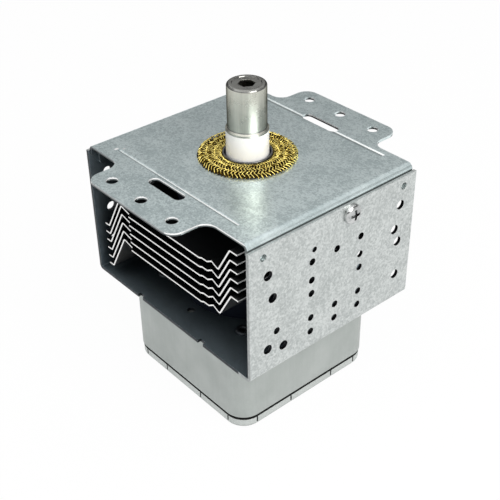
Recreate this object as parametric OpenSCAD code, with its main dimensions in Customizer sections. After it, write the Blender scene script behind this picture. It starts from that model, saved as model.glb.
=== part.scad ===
// Magnetron of a microwave oven, standing on the lid of its filter box.
// Z runs up the antenna, X runs across the two perforated walls, Y runs along the cooling air.

/* [Yoke] */
// Outside width of the yoke across its perforated walls
yoke_w = 94; // [88:0.5:110]
// Depth of the yoke along the cooling air
yoke_d = 80.5; // [76:0.5:96]
// Sheet thickness of the U-shaped frame
frame_t = 1.3; // [1:0.1:2]
// Inside bend radius at the foot of the frame
frame_bend_r = 0.5; // [0.3:0.1:3]
// Drop from the plate's top face to the top edges of the frame walls
wall_drop = 2.5; // [1.5:0.1:4]
// Width of the small notches in the frame's lower edges
notch_w = 3; // [2:0.1:4]
// Depth of the small notches in the frame's lower edges
notch_d = 1.3; // [0.8:0.1:2]
// Distance of the notches from the middle of the edge
notch_x = 18.8; // [10:0.1:24]
// Diameter of the locating holes in the frame's floor
locating_d = 3; // [2:0.1:4]
// Distance from the lower magnet to the locating holes' centres
locating_gap = 4; // [3:0.1:5]
// Shift of the locating holes from the middle of the floor
locating_x = 1.5; // [0:0.1:3]

/* [Wall vents] */
// Diameter of the small vents
vent_small_d = 2.8; // [2:0.1:4]
// Diameter of the large vents
vent_large_d = 3.8; // [3:0.1:4.6]
// Diameter of the pilot hole over the plate's tab
vent_pilot_d = 2.2; // [1.5:0.1:2.6]
// Spacing of the columns of small vents
vent_pitch = 12; // [9:0.1:14]
// Shift of the columns from the middle of the wall
vent_shift = 0.5; // [-1:0.1:1]

/* [Top plate] */
// Sheet thickness of the plate
plate_t = 1.1; // [1:0.1:1.8]
// Inset of the plate's edges from the yoke's open faces
plate_inset = 0.7; // [0:0.1:2]
// Outside bend radius between the plate and its lips
plate_bend_r = 2.2; // [2:0.1:3]
// Slip clearance between the lips and the frame walls
lip_clear = 0.15; // [0.03:0.01:0.3]
// Depth of the lips at their ends
lip_end_h = 4.3; // [3.5:0.1:5]
// Depth of the lips along their length
lip_h = 9.8; // [9:0.1:12]
// Depth of the tab that takes the screw
tab_h = 16; // [14:0.1:17]
// Width of the tab that takes the screw
tab_w = 28; // [24:0.5:36]
// Length of each short lip end
lip_end_l = 3.2; // [2:0.1:4]
// Corner radius of the lips and tabs
lip_corner_r = 2.4; // [1:0.1:3]
// Width of each fixing flange
flange_w = 50.5; // [46:0.5:60]
// Reach of each fixing flange beyond the plate's edge
flange_l = 14.95; // [12:0.05:18]
// Radius of the flange's outer corners
flange_corner_r = 5.2; // [2:0.1:6]
// Fillet radius where the flange meets the plate
flange_fillet_r = 5; // [2:0.1:6]
// Diameter of the fixing holes
fix_d = 4.5; // [3.5:0.1:5.5]
// Spacing of the fixing holes along a flange
fix_pitch = 17.5; // [15:0.1:19]
// Distance of the fixing holes from the plate's edge
fix_out = 8.7; // [5.5:0.05:9.5]
// Overall length of the obround slots
slot_l = 18.5; // [12:0.5:24]
// Width of the obround slots
slot_w = 4.6; // [4.2:0.1:6]
// Distance of the slots' centres in from the plate's edge
slot_in = 2.25; // [1.9:0.05:6]
// Width of the pressed creases
crease_w = 1.1; // [0.8:0.1:2]
// Depth of the pressed creases
crease_depth = 0.3; // [0.1:0.05:0.4]
// Length of the pressed creases
crease_l = 69; // [50:1:76]
// Distance of the front crease in from the plate's edge
crease_front_in = 6.15; // [5.5:0.05:9]
// Distance of the rear crease in from the plate's edge
crease_rear_in = 3.15; // [2.5:0.05:6]

/* [Yoke screws] */
// Diameter of the screw's head
screw_head_d = 7.5; // [6:0.1:9]
// Height of the screw's head
screw_head_h = 2.3; // [1.8:0.1:2.8]
// Height of the upright edge of the screw's head
screw_edge_h = 0.8; // [0.5:0.1:1.2]
// Outside diameter of the screw's thread
screw_d = 3.9; // [3:0.1:4.5]
// Reach of the screw past the lip
screw_past = 2.2; // [1:0.1:3]
// Distance of the screw from the middle of the wall
screw_y = 6.9; // [0:0.1:8]
// Distance of the screw below the plate's top face
screw_drop = 6.6; // [6:0.1:8]
// Play around the screw in the wall
screw_play = 0.2; // [0.1:0.05:0.4]
// Play around the screw in the lip
thread_play = 0.04; // [0.02:0.01:0.1]
// Width of the arms of the cross recess
cross_w = 1.1; // [0.8:0.1:1.5]
// Span of the cross recess
cross_l = 4.2; // [3:0.1:5]
// Depth of the cross recess
cross_depth = 1.3; // [0.8:0.1:1.6]

/* [Antenna] */
// Diameter of the ceramic output insulator
insulator_d = 16; // [14:0.1:19]
// Wall of the output insulator
insulator_wall = 2.8; // [2:0.1:3.5]
// Height of the insulator's top above the plate
insulator_top = 10.6; // [8:0.1:14]
// Height of the insulator's foot below the plate
insulator_foot = 0.6; // [0.2:0.1:1.5]
// Diameter of the antenna cap
cap_d = 14.7; // [13:0.1:15.4]
// Height of the antenna cap
cap_h = 18.1; // [14:0.05:22]
// Wall of the antenna cap
cap_t = 0.6; // [0.4:0.1:0.8]
// Height of the cap's flared skirt
skirt_h = 1.3; // [0.8:0.1:2]
// Radius of the rounded edge at the cap's top
cap_edge_r = 1; // [0.7:0.1:1.5]
// Depth of the dish in the cap's top
dish_depth = 0.3; // [0.2:0.1:1.5]
// Width of the dish in the cap's top
dish_d = 11; // [9:0.1:11.6]
// Width across corners of the six-sided hole
cap_hole_d = 6.6; // [5:0.1:7.5]
// Diameter of the pinched exhaust tube
exhaust_d = 6; // [5:0.1:7]
// Wall of the exhaust tube
exhaust_t = 0.8; // [0.5:0.1:1]
// Height of the exhaust tube up to its pinch
exhaust_h = 8.5; // [6:0.1:9]
// Height of the pinch
pinch_h = 3.5; // [2:0.1:4.5]
// Thickness of the pinch's edge
pinch_t = 1; // [0.6:0.1:1.6]
// Thickness of the metal disc on the insulator
seal_disc_t = 0.6; // [0.4:0.1:1]
// Diameter of the antenna rod
rod_d = 2; // [1.4:0.1:2.4]
// Bend radius of the antenna rod
rod_bend_r = 3; // [2:0.1:5]

/* [Output sleeve and gasket] */
// Wall of the output and stem sleeves
sleeve_t = 0.6; // [0.5:0.1:1.2]
// Groove between the sleeve's rim and the insulator
groove_gap = 0.75; // [0.5:0.05:2]
// Height of the sleeve's rim above the plate
rim_h = 1.5; // [0.5:0.1:1.8]
// Clearance of the sleeves in the plate, the magnets and the frame
sleeve_clear = 0.5; // [0.2:0.1:1]
// Clearance of the gasket around the sleeve
gasket_clear = 0.1; // [0.05:0.05:0.3]
// Outside diameter of the knitted gasket
gasket_d = 37; // [32:0.5:42]
// Height of the knitted gasket
gasket_h = 1.9; // [1.2:0.1:3]
// Height of the gasket's outer flanks
gasket_flank = 0.9; // [0.6:0.1:1.8]
// Rows of knitted loops across the gasket
gasket_rows = 6; // [4:1:8]

/* [Magnets and tube] */
// Outside diameter of the ferrite magnets
magnet_d = 54; // [50:0.5:58]
// Thickness of the ferrite magnets
magnet_t = 12.7; // [10:0.1:15]
// Thickness of the sealing flanges on the sleeves
seal_t = 0.8; // [0.5:0.1:1.2]
// Diameter of the sealing flanges on the sleeves
seal_d = 34; // [30:0.5:37]
// Outside diameter of the anode
anode_d = 38; // [36:0.1:40]
// Wall of the anode
anode_wall = 2.1; // [1.5:0.1:3]
// Sheet thickness of the pole pieces
pole_t = 1.8; // [1.4:0.1:2.2]
// Hole through the pole pieces' noses
pole_hole_d = 9.4; // [8.6:0.1:10]
// Width of the flat on the pole pieces' noses
pole_nose_w = 1.5; // [1:0.1:2]
// Depth of the pole pieces' funnels
pole_depth = 5.8; // [5:0.1:6.4]
// Hole for the antenna rod in the upper pole piece
pole_rod_d = 4.4; // [4:0.1:5]
// Count of the anode's vanes
vane_count = 10; // [8:2:12]
// Thickness of the vanes
vane_t = 1.9; // [1.4:0.1:2.2]
// Height of the vanes
vane_h = 9.5; // [8:0.1:10]
// Diameter of the space between the vanes' tips
vane_bore_d = 9.2; // [8.6:0.1:10]
// Joint gap between the vanes and the anode's wall
braze_gap = 0.03; // [0.01:0.01:0.08]
// Inside diameter of the small strap rings
strap_small_d = 11.2; // [10.8:0.1:11.6]
// Inside diameter of the large strap rings
strap_large_d = 14; // [13.8:0.1:14.4]
// Width of the strap rings' section
strap_w = 0.8; // [0.6:0.1:0.9]
// Height of the strap rings' section
strap_h = 1; // [0.8:0.1:1.2]
// Clearance of a strap ring over the vanes that it skips
strap_clear = 0.3; // [0.2:0.05:0.35]
// Distance of the antenna rod's foot from the axis
rod_foot_x = 9.2; // [9:0.1:9.6]

/* [Cathode] */
// Mean diameter of the helical filament
filament_d = 3.8; // [3.4:0.1:4.2]
// Diameter of the filament's wire
filament_wire_d = 0.6; // [0.4:0.1:0.8]
// Turns of the filament
filament_turns = 7; // [5:1:9]
// Diameter of the end hats
hat_d = 7.6; // [7:0.1:8]
// Thickness of the end hats
hat_t = 1.2; // [0.8:0.1:1.4]
// Overlap of the end hats with the vanes' height
hat_in = 0.6; // [0.2:0.1:1]
// Diameter of the cathode leads
lead_d = 1.5; // [1.2:0.1:1.8]
// Distance of the side lead from the axis
side_lead_x = 2.7; // [2.5:0.1:2.8]
// Clearance of the centre lead in the lower end hat
hat_clear = 0.5; // [0.3:0.1:0.6]
// Fit of the leads in their holes
lead_fit = 0.05; // [0.02:0.01:0.1]

/* [Stem] */
// Reach of the stem sleeve below the yoke
stem_reach = 5.7; // [4:0.1:8]
// Diameter of the ceramic stem
stem_d = 17; // [14:0.5:19]
// Height of the ceramic stem
stem_h = 14; // [10:0.5:16]
// Hole through the sleeves' ceramic seats
seat_hole_d = 10; // [9:0.1:10.4]
// Thickness of the stem's feed plates
feed_t = 0.8; // [0.5:0.1:1.2]
// Width of the stem's feed plates
feed_w = 5; // [4:0.1:7]
// Reach of the feed plates from the axis
feed_l = 12.5; // [11:0.1:13]
// Length of lead that shows past the feed plates
lead_past = 0.6; // [0.3:0.1:1]

/* [Cooling fins] */
// Spacing of the fins
fin_pitch = 3.8; // [3.3:0.02:4.2]
// Sheet thickness of the fins
fin_t = 0.6; // [0.4:0.05:0.7]
// Distance from the anode's top to the upper fin
fin_top_land = 0.7; // [0.6:0.1:2]
// Distance from the lower fin to the anode's foot
fin_bottom_land = 4.6; // [3.5:0.1:7]
// Height of the collar that grips the anode
collar_h = 2.4; // [1.5:0.1:2.6]
// Fit of the collar on the anode
collar_fit = 0.03; // [0.01:0.01:0.1]
// Inset of the fins from the yoke's open faces
fin_inset = 0.05; // [0:0.05:2]
// Width of the flat beyond the anode on the low side
flat_margin = 3; // [2:0.1:4]
// Width of the shoulder on the low side
shoulder_w = 6.1; // [4:0.1:7]
// Rise of the shoulder on the low side
shoulder_h = 1.6; // [0.5:0.1:2.5]
// Fall of the wing on the low side
wing_fall = 15.8; // [12:0.1:17]
// Width of the tip of the wing on the low side
low_tip_w = 2.7; // [2:0.1:4]
// Gap between the low wing's tip and the wall
low_wall_gap = 5; // [3:0.1:6]
// Gap between the high wing's foot and the magnet
foot_gap = 1.7; // [0.8:0.1:3]
// Width of the foot of the high wing
foot_w = 3.5; // [2.5:0.1:4.5]
// Dip at the foot of the high wing
foot_dip = 1.6; // [0.5:0.05:2.5]
// Rise of the wing on the high side
wing_rise = 9.5; // [7:0.1:10]
// Width of the tip of the wing on the high side
high_tip_w = 3.8; // [2:0.1:5.5]
// Gap between the high wing's tip and the wall
high_wall_gap = 6.7; // [4:0.1:7]
// Bend radius of the fins at the sheet's middle
fin_bend_r = 0.8; // [0.5:0.1:1]
// Setback of the low wing's edges
low_setback = 1; // [0.5:0.1:2]
// Setback of the high wing's edges
high_setback = 1.8; // [1:0.05:3]
// Setback of the step beside the high wing
step_setback = 0.55; // [0.2:0.05:0.9]
// Width of the step beside the high wing
step_w = 3.7; // [2:0.1:5]
// Length of the slant between two setbacks
slant_l = 0.9; // [0.5:0.1:1.5]

/* [Filter box] */
// Width of the square filter box
box_w = 69.4; // [64:0.2:76]
// Corner radius of the filter box
box_r = 8.4; // [6:0.1:10]
// Height from the lid's face to the yoke
box_h = 37.9; // [32:0.1:44]
// Sheet thickness of the filter box
box_t = 0.8; // [0.6:0.1:1]
// Outside radius of the drawn edge at the box's top
draw_r = 2.5; // [2:0.1:4]
// Sheet thickness of the lid
lid_t = 0.7; // [0.5:0.1:1]
// Outside radius of the lid's lower edge
lid_bend_r = 1.3; // [1.1:0.1:2]
// Height of the lid's fingers
finger_h = 3.9; // [3:0.1:5]
// Inset of the fingers from the box's wall
finger_inset = 0.3; // [0.1:0.05:0.6]
// Clearance between the fingers and the box's rim
finger_clear = 0.05; // [0.03:0.01:0.1]
// Gap between the fingers' tips and the box's joggle
finger_gap = 0.5; // [0.2:0.1:1]
// Width of the slits between the fingers
slit_w = 0.7; // [0.4:0.1:1.2]
// Spacing of the two middle slits on each side
slit_pitch = 22; // [16:0.5:28]
// Shift of the middle slits on the front and rear sides
slit_shift_front = -1.8; // [-3:0.1:3]
// Shift of the middle slits on the left and right sides
slit_shift_side = 2.4; // [-3:0.1:3]
// Clearance of the box around the stem sleeve
box_stem_clear = 0.6; // [0.3:0.1:1]

/* [Box rivets] */
// Diameter of the hollow rivets' shanks
rivet_d = 3.4; // [2.6:0.1:4]
// Bore of the hollow rivets
rivet_bore_d = 2.2; // [1.4:0.1:2.4]
// Diameter of the rivets' flared ends
rivet_head_d = 5.6; // [5:0.1:6.5]
// Height of the rivets' flared ends
rivet_head_h = 0.8; // [0.5:0.1:1.2]
// Gap between the rivets and the lower magnet
rivet_gap = 4.4; // [3:0.1:6]
// Fit of the rivets in their holes
rivet_fit = 0.04; // [0.02:0.01:0.1]

/* [Chokes] */
// Diameter of the ferrite cores
core_d = 5; // [4:0.1:6]
// Length of the ferrite cores
core_l = 28; // [26:0.5:34]
// Distance of the cores from the middle of the box
choke_x = 18; // [17.5:0.1:21]
// Diameter of the choke wire
choke_wire_d = 1.4; // [1:0.1:1.6]
// Clearance between the choke wire and its core
choke_clear = 0.15; // [0.05:0.05:0.3]
// Turns of each choke
choke_turns = 8; // [6:1:10]
// Length of each winding
winding_l = 22; // [20:0.5:24]
// Gap at the choke wire's ends
choke_end_gap = 0.1; // [0.05:0.05:0.2]

/* [Capacitor] */
// Width of the capacitor's body
capacitor_w = 26; // [22:0.5:32]
// Height of the capacitor's body
capacitor_h = 13; // [11:0.5:16]
// Reach of the body outside the box
capacitor_out = 10; // [8:0.5:11]
// Reach of the body inside the box
capacitor_in = 6.5; // [5:0.5:8]
// Clearance of the body in the box's wall
capacitor_clear = 0.2; // [0.1:0.1:0.4]
// Height of the capacitor's axis above the lid
capacitor_z = 16; // [15:0.5:20]
// Margin of the fixing flange above and below the body
capacitor_margin = 2; // [1.5:0.1:2.5]
// Reach of the fixing flange past the body's ends
capacitor_ear = 8; // [7:0.1:9]
// Thickness of the fixing flange
capacitor_flange_t = 0.8; // [0.5:0.1:1.2]
// Distance of the flange's rivets past the body's ends
ear_rivet_x = 4; // [3.6:0.1:4.5]
// Spacing of the two terminals
terminal_pitch = 13; // [11:0.5:15]
// Diameter of the terminals' studs
stud_d = 2.2; // [1.6:0.1:2.6]
// Reach of the studs past the body inside the box
stud_past = 3; // [2:0.1:4]
// Width of the blades
blade_w = 6.3; // [4.8:0.1:6.4]
// Thickness of the blades
blade_t = 0.8; // [0.5:0.1:1]
// Length of the blades
blade_l = 8; // [7:0.1:9]
// Chamfer at the blades' tips
blade_chamfer = 1; // [0.5:0.1:1.5]
// Diameter of the holes in the blades
blade_hole_d = 1.6; // [1.2:0.1:2]
// Distance of the blades' holes from their tips
blade_hole_in = 3.6; // [2.8:0.1:4]
// Thickness of the barrier between the terminals
barrier_t = 1.6; // [1.2:0.1:2]
// Reach of the barrier past the body
barrier_out = 4; // [2:0.5:6]

/* [Hidden] */

$fn = 72;
// Overshoot of a cutting shape past the face that it cuts
cut = 1;
// Segments in a quarter of a bend
bend_n = 8;
// Segments in a bend of a fin or of the antenna rod
fold_n = 4;
// Sides of the round sections of rod, choke wire and filament
rod_sides = 12;
choke_sides = 8;
filament_sides = 6;
fin_count = 6;

// Colours as the photograph shows them
zinc = "#b4bcbd";
drawn_steel = "#a9b0ad";
nickel = "#c9c8bf";
alumina = "#f5f5f2";
dark_steel = "#4b4e54";
mesh_brass = "#b8963a";
fin_aluminium = "#d7dadb";
ferrite = "#2b2c30";
copper = "#b87748";
tungsten = "#7d7f83";
brown_resin = "#6b4a35";
tin = "#c4c6c4";

// Heights, from the lid's face upwards
anode_h = (fin_count - 1) * fin_pitch + fin_top_land + fin_bottom_land;
z_yoke = box_h;
z_floor = z_yoke + frame_t;
z_lower_seal = z_floor + magnet_t;
z_lower_pole = z_lower_seal + seal_t;
z_anode = z_lower_pole + pole_t;
z_anode_top = z_anode + anode_h;
z_upper_seal = z_anode_top + pole_t;
z_upper_magnet = z_upper_seal + seal_t;
z_plate_under = z_upper_magnet + magnet_t;
z_plate = z_plate_under + plate_t;
z_vane_mid = (z_anode + z_anode_top) / 2;
z_vane_top = z_vane_mid + vane_h / 2;
z_vane_foot = z_vane_mid - vane_h / 2;
z_stem = z_yoke - stem_reach;
z_feed = z_stem - stem_h;
z_lead_end = z_feed - feed_t - lead_past;

// Half sizes and radii that several pieces share
wall_x = yoke_w / 2;
lip_x = wall_x - frame_t - lip_clear;
half_d = yoke_d / 2;
plate_y = half_d - plate_inset;
sleeve_r = insulator_d / 2 + groove_gap + sleeve_t;
passage_r = sleeve_r + sleeve_clear;
magnet_r = magnet_d / 2;
anode_r = anode_d / 2;
anode_bore_r = anode_r - anode_wall;
rivet_xy = (magnet_r + rivet_head_d / 2 + rivet_gap) / sqrt(2);
locating_y = magnet_r + locating_gap;
box_x = box_w / 2;
corner_x = box_x - box_r;
joggle = lid_t + finger_inset + finger_clear;
z_joggle = finger_h + finger_gap;
winding_r = core_d / 2 + choke_clear + choke_wire_d / 2;
z_choke = z_feed - feed_t - choke_end_gap - choke_wire_d / 2;
ear_x = capacitor_w / 2 + ear_rivet_x;

// Rows of small vents in the outer columns, below the plate and above the yoke's underside
vent_rows_down = [18.6, 26.4, 32.2];
vent_rows_up = [14.3, 8.1];
// Large vents near the front edge of the right wall: distance in from the edge, distance below the plate
front_vents_down = [[8.35, 14.7], [10.45, 24.9]];
// Large vents near the front edge: distance in from the edge, distance above the yoke's underside
front_vents_up = [[8.15, 11], [15.55, 9]];
// Small vent near the front edge, as the row above
front_small_up = [12.35, 17.2];
// Large vents near the rear edge of the right wall, as the rows for the front edge
rear_vents_down = [[7.45, 14], [9.65, 23.9], [7.5, 30]];
rear_vents_up = [[7.55, 12.2]];
// Pilot hole over the tab, from the middle of the wall and below the plate
pilot_at = [-10.6, 13.8];
// Small holes over the ends of the lip: distance in from the edge, distance below the plate
lip_hole_at = [6.3, 6.5];

// Points of an arc about c, from angle a to angle b
function arc(c, r, a, b, n = bend_n) =
    [for (i = [0:n]) c + r * [cos(a + (b - a) * i / n), sin(a + (b - a) * i / n)]];
// Points reversed in order
function turned(p) = [for (i = [len(p) - 1:-1:0]) p[i]];
// An outline made from its right half and the mirror image of that half
function both_sides(p) = concat(p, turned([for (q = p) [-q[0], q[1]]]));
function unit(v) = v / norm(v);
function left_of(v) = [-v[1], v[0]];
// Corner at b rounded to radius r between its neighbours a and c
function rounded(a, b, c, r, n) =
    let (u = unit(a - b), v = unit(c - b), half = acos(u * v) / 2, m = b + unit(u + v) * r / sin(half),
        s = b + u * r / tan(half) - m, e = b + v * r / tan(half) - m, sweep = acos(unit(s) * unit(e)),
        side = s[0] * e[1] - s[1] * e[0] > 0 ? 1 : -1, a0 = atan2(s[1], s[0]))
    [for (i = [0:n]) m + r * [cos(a0 + side * sweep * i / n), sin(a0 + side * sweep * i / n)]];
// Line p with every inner corner rounded to radius r
function bent(p, r, n) =
    concat([p[0]], [for (i = [1:len(p) - 2]) for (q = rounded(p[i - 1], p[i], p[i + 1], r, n)) q],
        [p[len(p) - 1]]);
// Normal of line p at point i, long enough to keep the sheet's thickness through a bend
function mitre(p, i) =
    let (a = left_of(unit(p[min(i + 1, len(p) - 1)] - p[min(i, len(p) - 2)])),
        b = left_of(unit(p[max(i, 1)] - p[max(i - 1, 0)])))
    (a + b) / (1 + a * b);
// Outline of a sheet of thickness t that follows line p
function sheet(p, t) =
    concat([for (i = [0:len(p) - 1]) p[i] + mitre(p, i) * t / 2],
        turned([for (i = [0:len(p) - 1]) p[i] - mitre(p, i) * t / 2]));
// Direction of route p at point i
function heading(p, i) = unit(p[min(i + 1, len(p) - 1)] - p[max(i - 1, 0)]);
// Cross directions carried along route p without twisting
function carried(p, i, u) =
    i == len(p) ? [] : let (t = heading(p, i), w = unit(u - (u * t) * t)) concat([w], carried(p, i + 1, w));

// Round wire of diameter d along route p, starting from cross direction u
module wire(p, d, u, sides) {
    across = carried(p, 0, u);
    last = (len(p) - 1) * sides;
    points = [for (i = [0:len(p) - 1]) let (t = heading(p, i), v = cross(t, across[i]))
        for (k = [0:sides - 1]) let (a = 360 * k / sides) p[i] + d / 2 * (cos(a) * across[i] + sin(a) * v)];
    skin = [for (i = [0:len(p) - 2]) for (k = [0:sides - 1]) let (a = i * sides, b = (k + 1) % sides)
        [a + k, a + sides + k, a + sides + b, a + b]];
    ends = [[for (k = [0:sides - 1]) k], [for (k = [sides - 1:-1:0]) last + k]];
    polyhedron(points, concat(skin, ends));
}

// Straight tube standing on its foot
module tube(outer_r, inner_r, h) {
    difference() {
        cylinder(r = outer_r, h = h);
        translate([0, 0, -cut]) cylinder(r = inner_r, h = h + 2 * cut);
    }
}

// Pan of square plan: the child profile runs around the four sides and corners, and a flat core of
// thickness t at height z closes the middle. The profile's axis is the corner's axis.
module pan(z, t) {
    for (a = [0:90:270]) rotate(a) {
        translate([corner_x, corner_x, 0]) rotate_extrude(angle = 90) children();
        translate([corner_x, corner_x, 0]) rotate([90, 0, 0]) linear_extrude(2 * corner_x) children();
    }
    translate([-corner_x, -corner_x, z]) cube([2 * corner_x, 2 * corner_x, t]);
}

// Obround of overall width w and height h that stands across Y, from y0 to y1
module obround(w, h, y0, y1) {
    for (s = [-1, 1])
        translate([s * (w - h) / 2, y1, 0]) rotate([90, 0, 0]) cylinder(d = h, h = y1 - y0);
    translate([-(w - h) / 2, y0, -h / 2]) cube([w - h, y1 - y0, h]);
}

module yoke_frame() {
    outer_r = frame_bend_r + frame_t;
    foot = z_yoke + outer_r;
    bend_x = wall_x - outer_r;
    wall_top = z_plate - wall_drop;
    right = concat([[wall_x - frame_t, wall_top], [wall_x, wall_top]],
        arc([bend_x, foot], outer_r, 0, -90));
    inner = arc([bend_x, foot], frame_bend_r, -90, 0);
    color(zinc) difference() {
        rotate([90, 0, 0]) linear_extrude(yoke_d, center = true)
            polygon(concat(right, turned([for (q = right) [-q[0], q[1]]]),
                turned([for (q = inner) [-q[0], q[1]]]), inner));
        for (a = [0, 180]) rotate(a) {
            wall_holes();
            translate([-locating_x, locating_y, z_yoke])
                cylinder(d = locating_d, h = 3 * frame_t, center = true);
            for (s = [-1, 1]) {
                translate([s * notch_x, half_d, z_yoke])
                    cube([notch_w, 2 * notch_d, 3 * frame_t], center = true);
                translate([s * rivet_xy, rivet_xy, z_yoke])
                    cylinder(d = rivet_d + 2 * rivet_fit, h = 3 * frame_t, center = true);
            }
        }
        translate([0, 0, z_yoke]) cylinder(r = passage_r, h = 3 * frame_t, center = true);
    }
}

// Hole of diameter d through the right wall at distance y from its middle and height z
module wall_hole(y, z, d) {
    translate([wall_x - frame_t / 2, y, z]) rotate([0, 90, 0])
        cylinder(d = d, h = frame_t + 2 * cut, center = true);
}

// Vents and fixing holes of the right wall
module wall_holes() {
    for (s = [-1, 1]) {
        for (z = vent_rows_down) wall_hole(vent_shift + s * vent_pitch, z_plate - z, vent_small_d);
        for (z = vent_rows_up) wall_hole(vent_shift + s * vent_pitch, z_yoke + z, vent_small_d);
        wall_hole(s * (half_d - lip_hole_at[0]), z_plate - lip_hole_at[1], vent_small_d);
    }
    wall_hole(vent_shift, z_plate - vent_rows_down[0], vent_small_d);
    for (z = vent_rows_up) wall_hole(vent_shift, z_yoke + z, vent_small_d);
    for (v = front_vents_down) wall_hole(v[0] - half_d, z_plate - v[1], vent_large_d);
    for (v = front_vents_up) wall_hole(v[0] - half_d, z_yoke + v[1], vent_large_d);
    for (v = rear_vents_down) wall_hole(half_d - v[0], z_plate - v[1], vent_large_d);
    for (v = rear_vents_up) wall_hole(half_d - v[0], z_yoke + v[1], vent_large_d);
    wall_hole(front_small_up[0] - half_d, z_yoke + front_small_up[1], vent_small_d);
    wall_hole(pilot_at[0], z_plate - pilot_at[1], vent_pilot_d);
    wall_hole(screw_y, z_plate - screw_drop, screw_d + 2 * screw_play);
}

module yoke_plate() {
    bend_x = lip_x - plate_bend_r;
    bend_z = z_plate - plate_bend_r;
    tab_z = z_plate - tab_h;
    outer = concat(arc([bend_x, bend_z], plate_bend_r, 90, 0), [[lip_x, tab_z]]);
    inner = concat(arc([bend_x, bend_z], plate_bend_r - plate_t, 90, 0), [[lip_x - plate_t, tab_z]]);
    color(zinc) difference() {
        union() {
            intersection() {
                rotate([90, 0, 0]) linear_extrude(2 * plate_y, center = true)
                    polygon(concat(outer, turned(inner), [for (q = inner) [-q[0], q[1]]],
                        turned([for (q = outer) [-q[0], q[1]]])));
                rotate([90, 0, 90]) linear_extrude(yoke_w, center = true) polygon(lip_outline());
            }
            for (a = [0, 180]) rotate(a) translate([0, 0, z_plate_under]) linear_extrude(plate_t)
                polygon(flange_outline());
        }
        for (a = [0, 180]) rotate(a) {
            for (i = [-1:1]) translate([i * fix_pitch, plate_y + fix_out, z_plate_under - cut])
                cylinder(d = fix_d, h = plate_t + 2 * cut);
            translate([0, plate_y - slot_in, z_plate_under]) rotate([90, 0, 0])
                obround(slot_l, slot_w, -cut, plate_t + cut);
            translate([0, screw_y, z_plate - screw_drop]) rotate([0, 90, 0])
                cylinder(d = screw_d + 2 * thread_play, h = wall_x);
        }
        translate([0, 0, z_plate_under - cut]) cylinder(r = passage_r, h = plate_t + 2 * cut);
        crease(crease_front_in - plate_y);
        crease(plate_y - crease_rear_in);
    }
}

// Shallow pressed line of V section across the plate at distance y from its middle
module crease(y) {
    translate([-crease_l / 2, y, z_plate]) rotate([90, 0, 90]) linear_extrude(crease_l)
        polygon([[-crease_w, crease_depth], [0, -crease_depth], [crease_w, crease_depth]]);
}

// Side view of the plate, with the ends of its lips cut short and the tab left long
function lip_outline() =
    let (lip_y = plate_y - lip_end_l, tab_y = tab_w / 2, r = lip_corner_r)
    both_sides(concat([[plate_y, z_plate], [plate_y, z_plate - lip_end_h], [lip_y, z_plate - lip_end_h]],
        arc([lip_y - r, z_plate - lip_h + r], r, 0, -90), [[tab_y, z_plate - lip_h]],
        arc([tab_y - r, z_plate - tab_h + r], r, 0, -90)));

// Plan of the rear flange, with its root inside the plate
function flange_outline() =
    let (w = flange_w / 2, f = flange_fillet_r, c = flange_corner_r, tip = plate_y + flange_l)
    both_sides(concat([[w + f, plate_y - plate_t]], arc([w + f, plate_y + f], f, -90, -180),
        arc([w - c, tip - c], c, 0, 90)));

// Pan-head screws through the walls and lips
module yoke_screws() {
    reach = frame_t + lip_clear + plate_t + screw_past;
    crown = [for (i = [0:bend_n]) let (a = 90 * i / bend_n)
        [screw_head_d / 2 * cos(a), screw_edge_h + (screw_head_h - screw_edge_h) * sin(a)]];
    color(tin) for (a = [0, 180]) rotate(a)
        translate([wall_x, screw_y, z_plate - screw_drop]) rotate([0, 90, 0]) difference() {
            rotate_extrude() polygon(concat([[0, -reach], [screw_d / 4, -reach],
                [screw_d / 2, screw_d / 4 - reach], [screw_d / 2, 0], [screw_head_d / 2, 0]], crown));
            for (b = [0, 90]) rotate(b)
                translate([-cross_l / 2, -cross_w / 2, screw_head_h - cross_depth])
                    cube([cross_l, cross_w, screw_head_h]);
        }
}

module antenna_cap() {
    r = cap_d / 2;
    e = cap_edge_r;
    z = z_plate + insulator_top;
    dish = dish_d / 2;
    skirt_r = insulator_d / 2;
    outer = concat([[skirt_r, 0], [skirt_r, skirt_h / 2], [r, skirt_h]], arc([r - e, cap_h - e], e, 0, 90),
        [[dish, cap_h], [dish - dish_depth / 2, cap_h - dish_depth], [0, cap_h - dish_depth]]);
    inner = [[0, cap_h - dish_depth - cap_t], [r - cap_t, cap_h - dish_depth - cap_t], [r - cap_t, 0]];
    color(nickel) translate([0, 0, z]) difference() {
        rotate_extrude() polygon(concat(outer, inner));
        cylinder(d = cap_hole_d, h = 2 * cap_h, $fn = 6);
    }
}

module output_insulator() {
    color(alumina) translate([0, 0, z_plate - insulator_foot])
        tube(insulator_d / 2, insulator_d / 2 - insulator_wall, insulator_top + insulator_foot);
}

// Disc that closes the insulator's top inside the cap
module output_seal() {
    color(dark_steel) translate([0, 0, z_plate + insulator_top])
        tube(cap_d / 2 - cap_t - gasket_clear, exhaust_d / 2 - exhaust_t, seal_disc_t);
}

// Copper tube on the disc, pinched shut at its top
module exhaust_tube() {
    r = exhaust_d / 2;
    foot = z_plate + insulator_top + seal_disc_t;
    color(copper) translate([0, 0, foot]) {
        tube(r, r - exhaust_t, exhaust_h);
        intersection() {
            translate([0, 0, exhaust_h]) cylinder(r = r, h = pinch_h);
            rotate([90, 0, 0]) linear_extrude(exhaust_d, center = true)
                polygon([[-r, exhaust_h], [r, exhaust_h], [pinch_t / 2, exhaust_h + pinch_h],
                    [-pinch_t / 2, exhaust_h + pinch_h]]);
        }
    }
}

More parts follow.
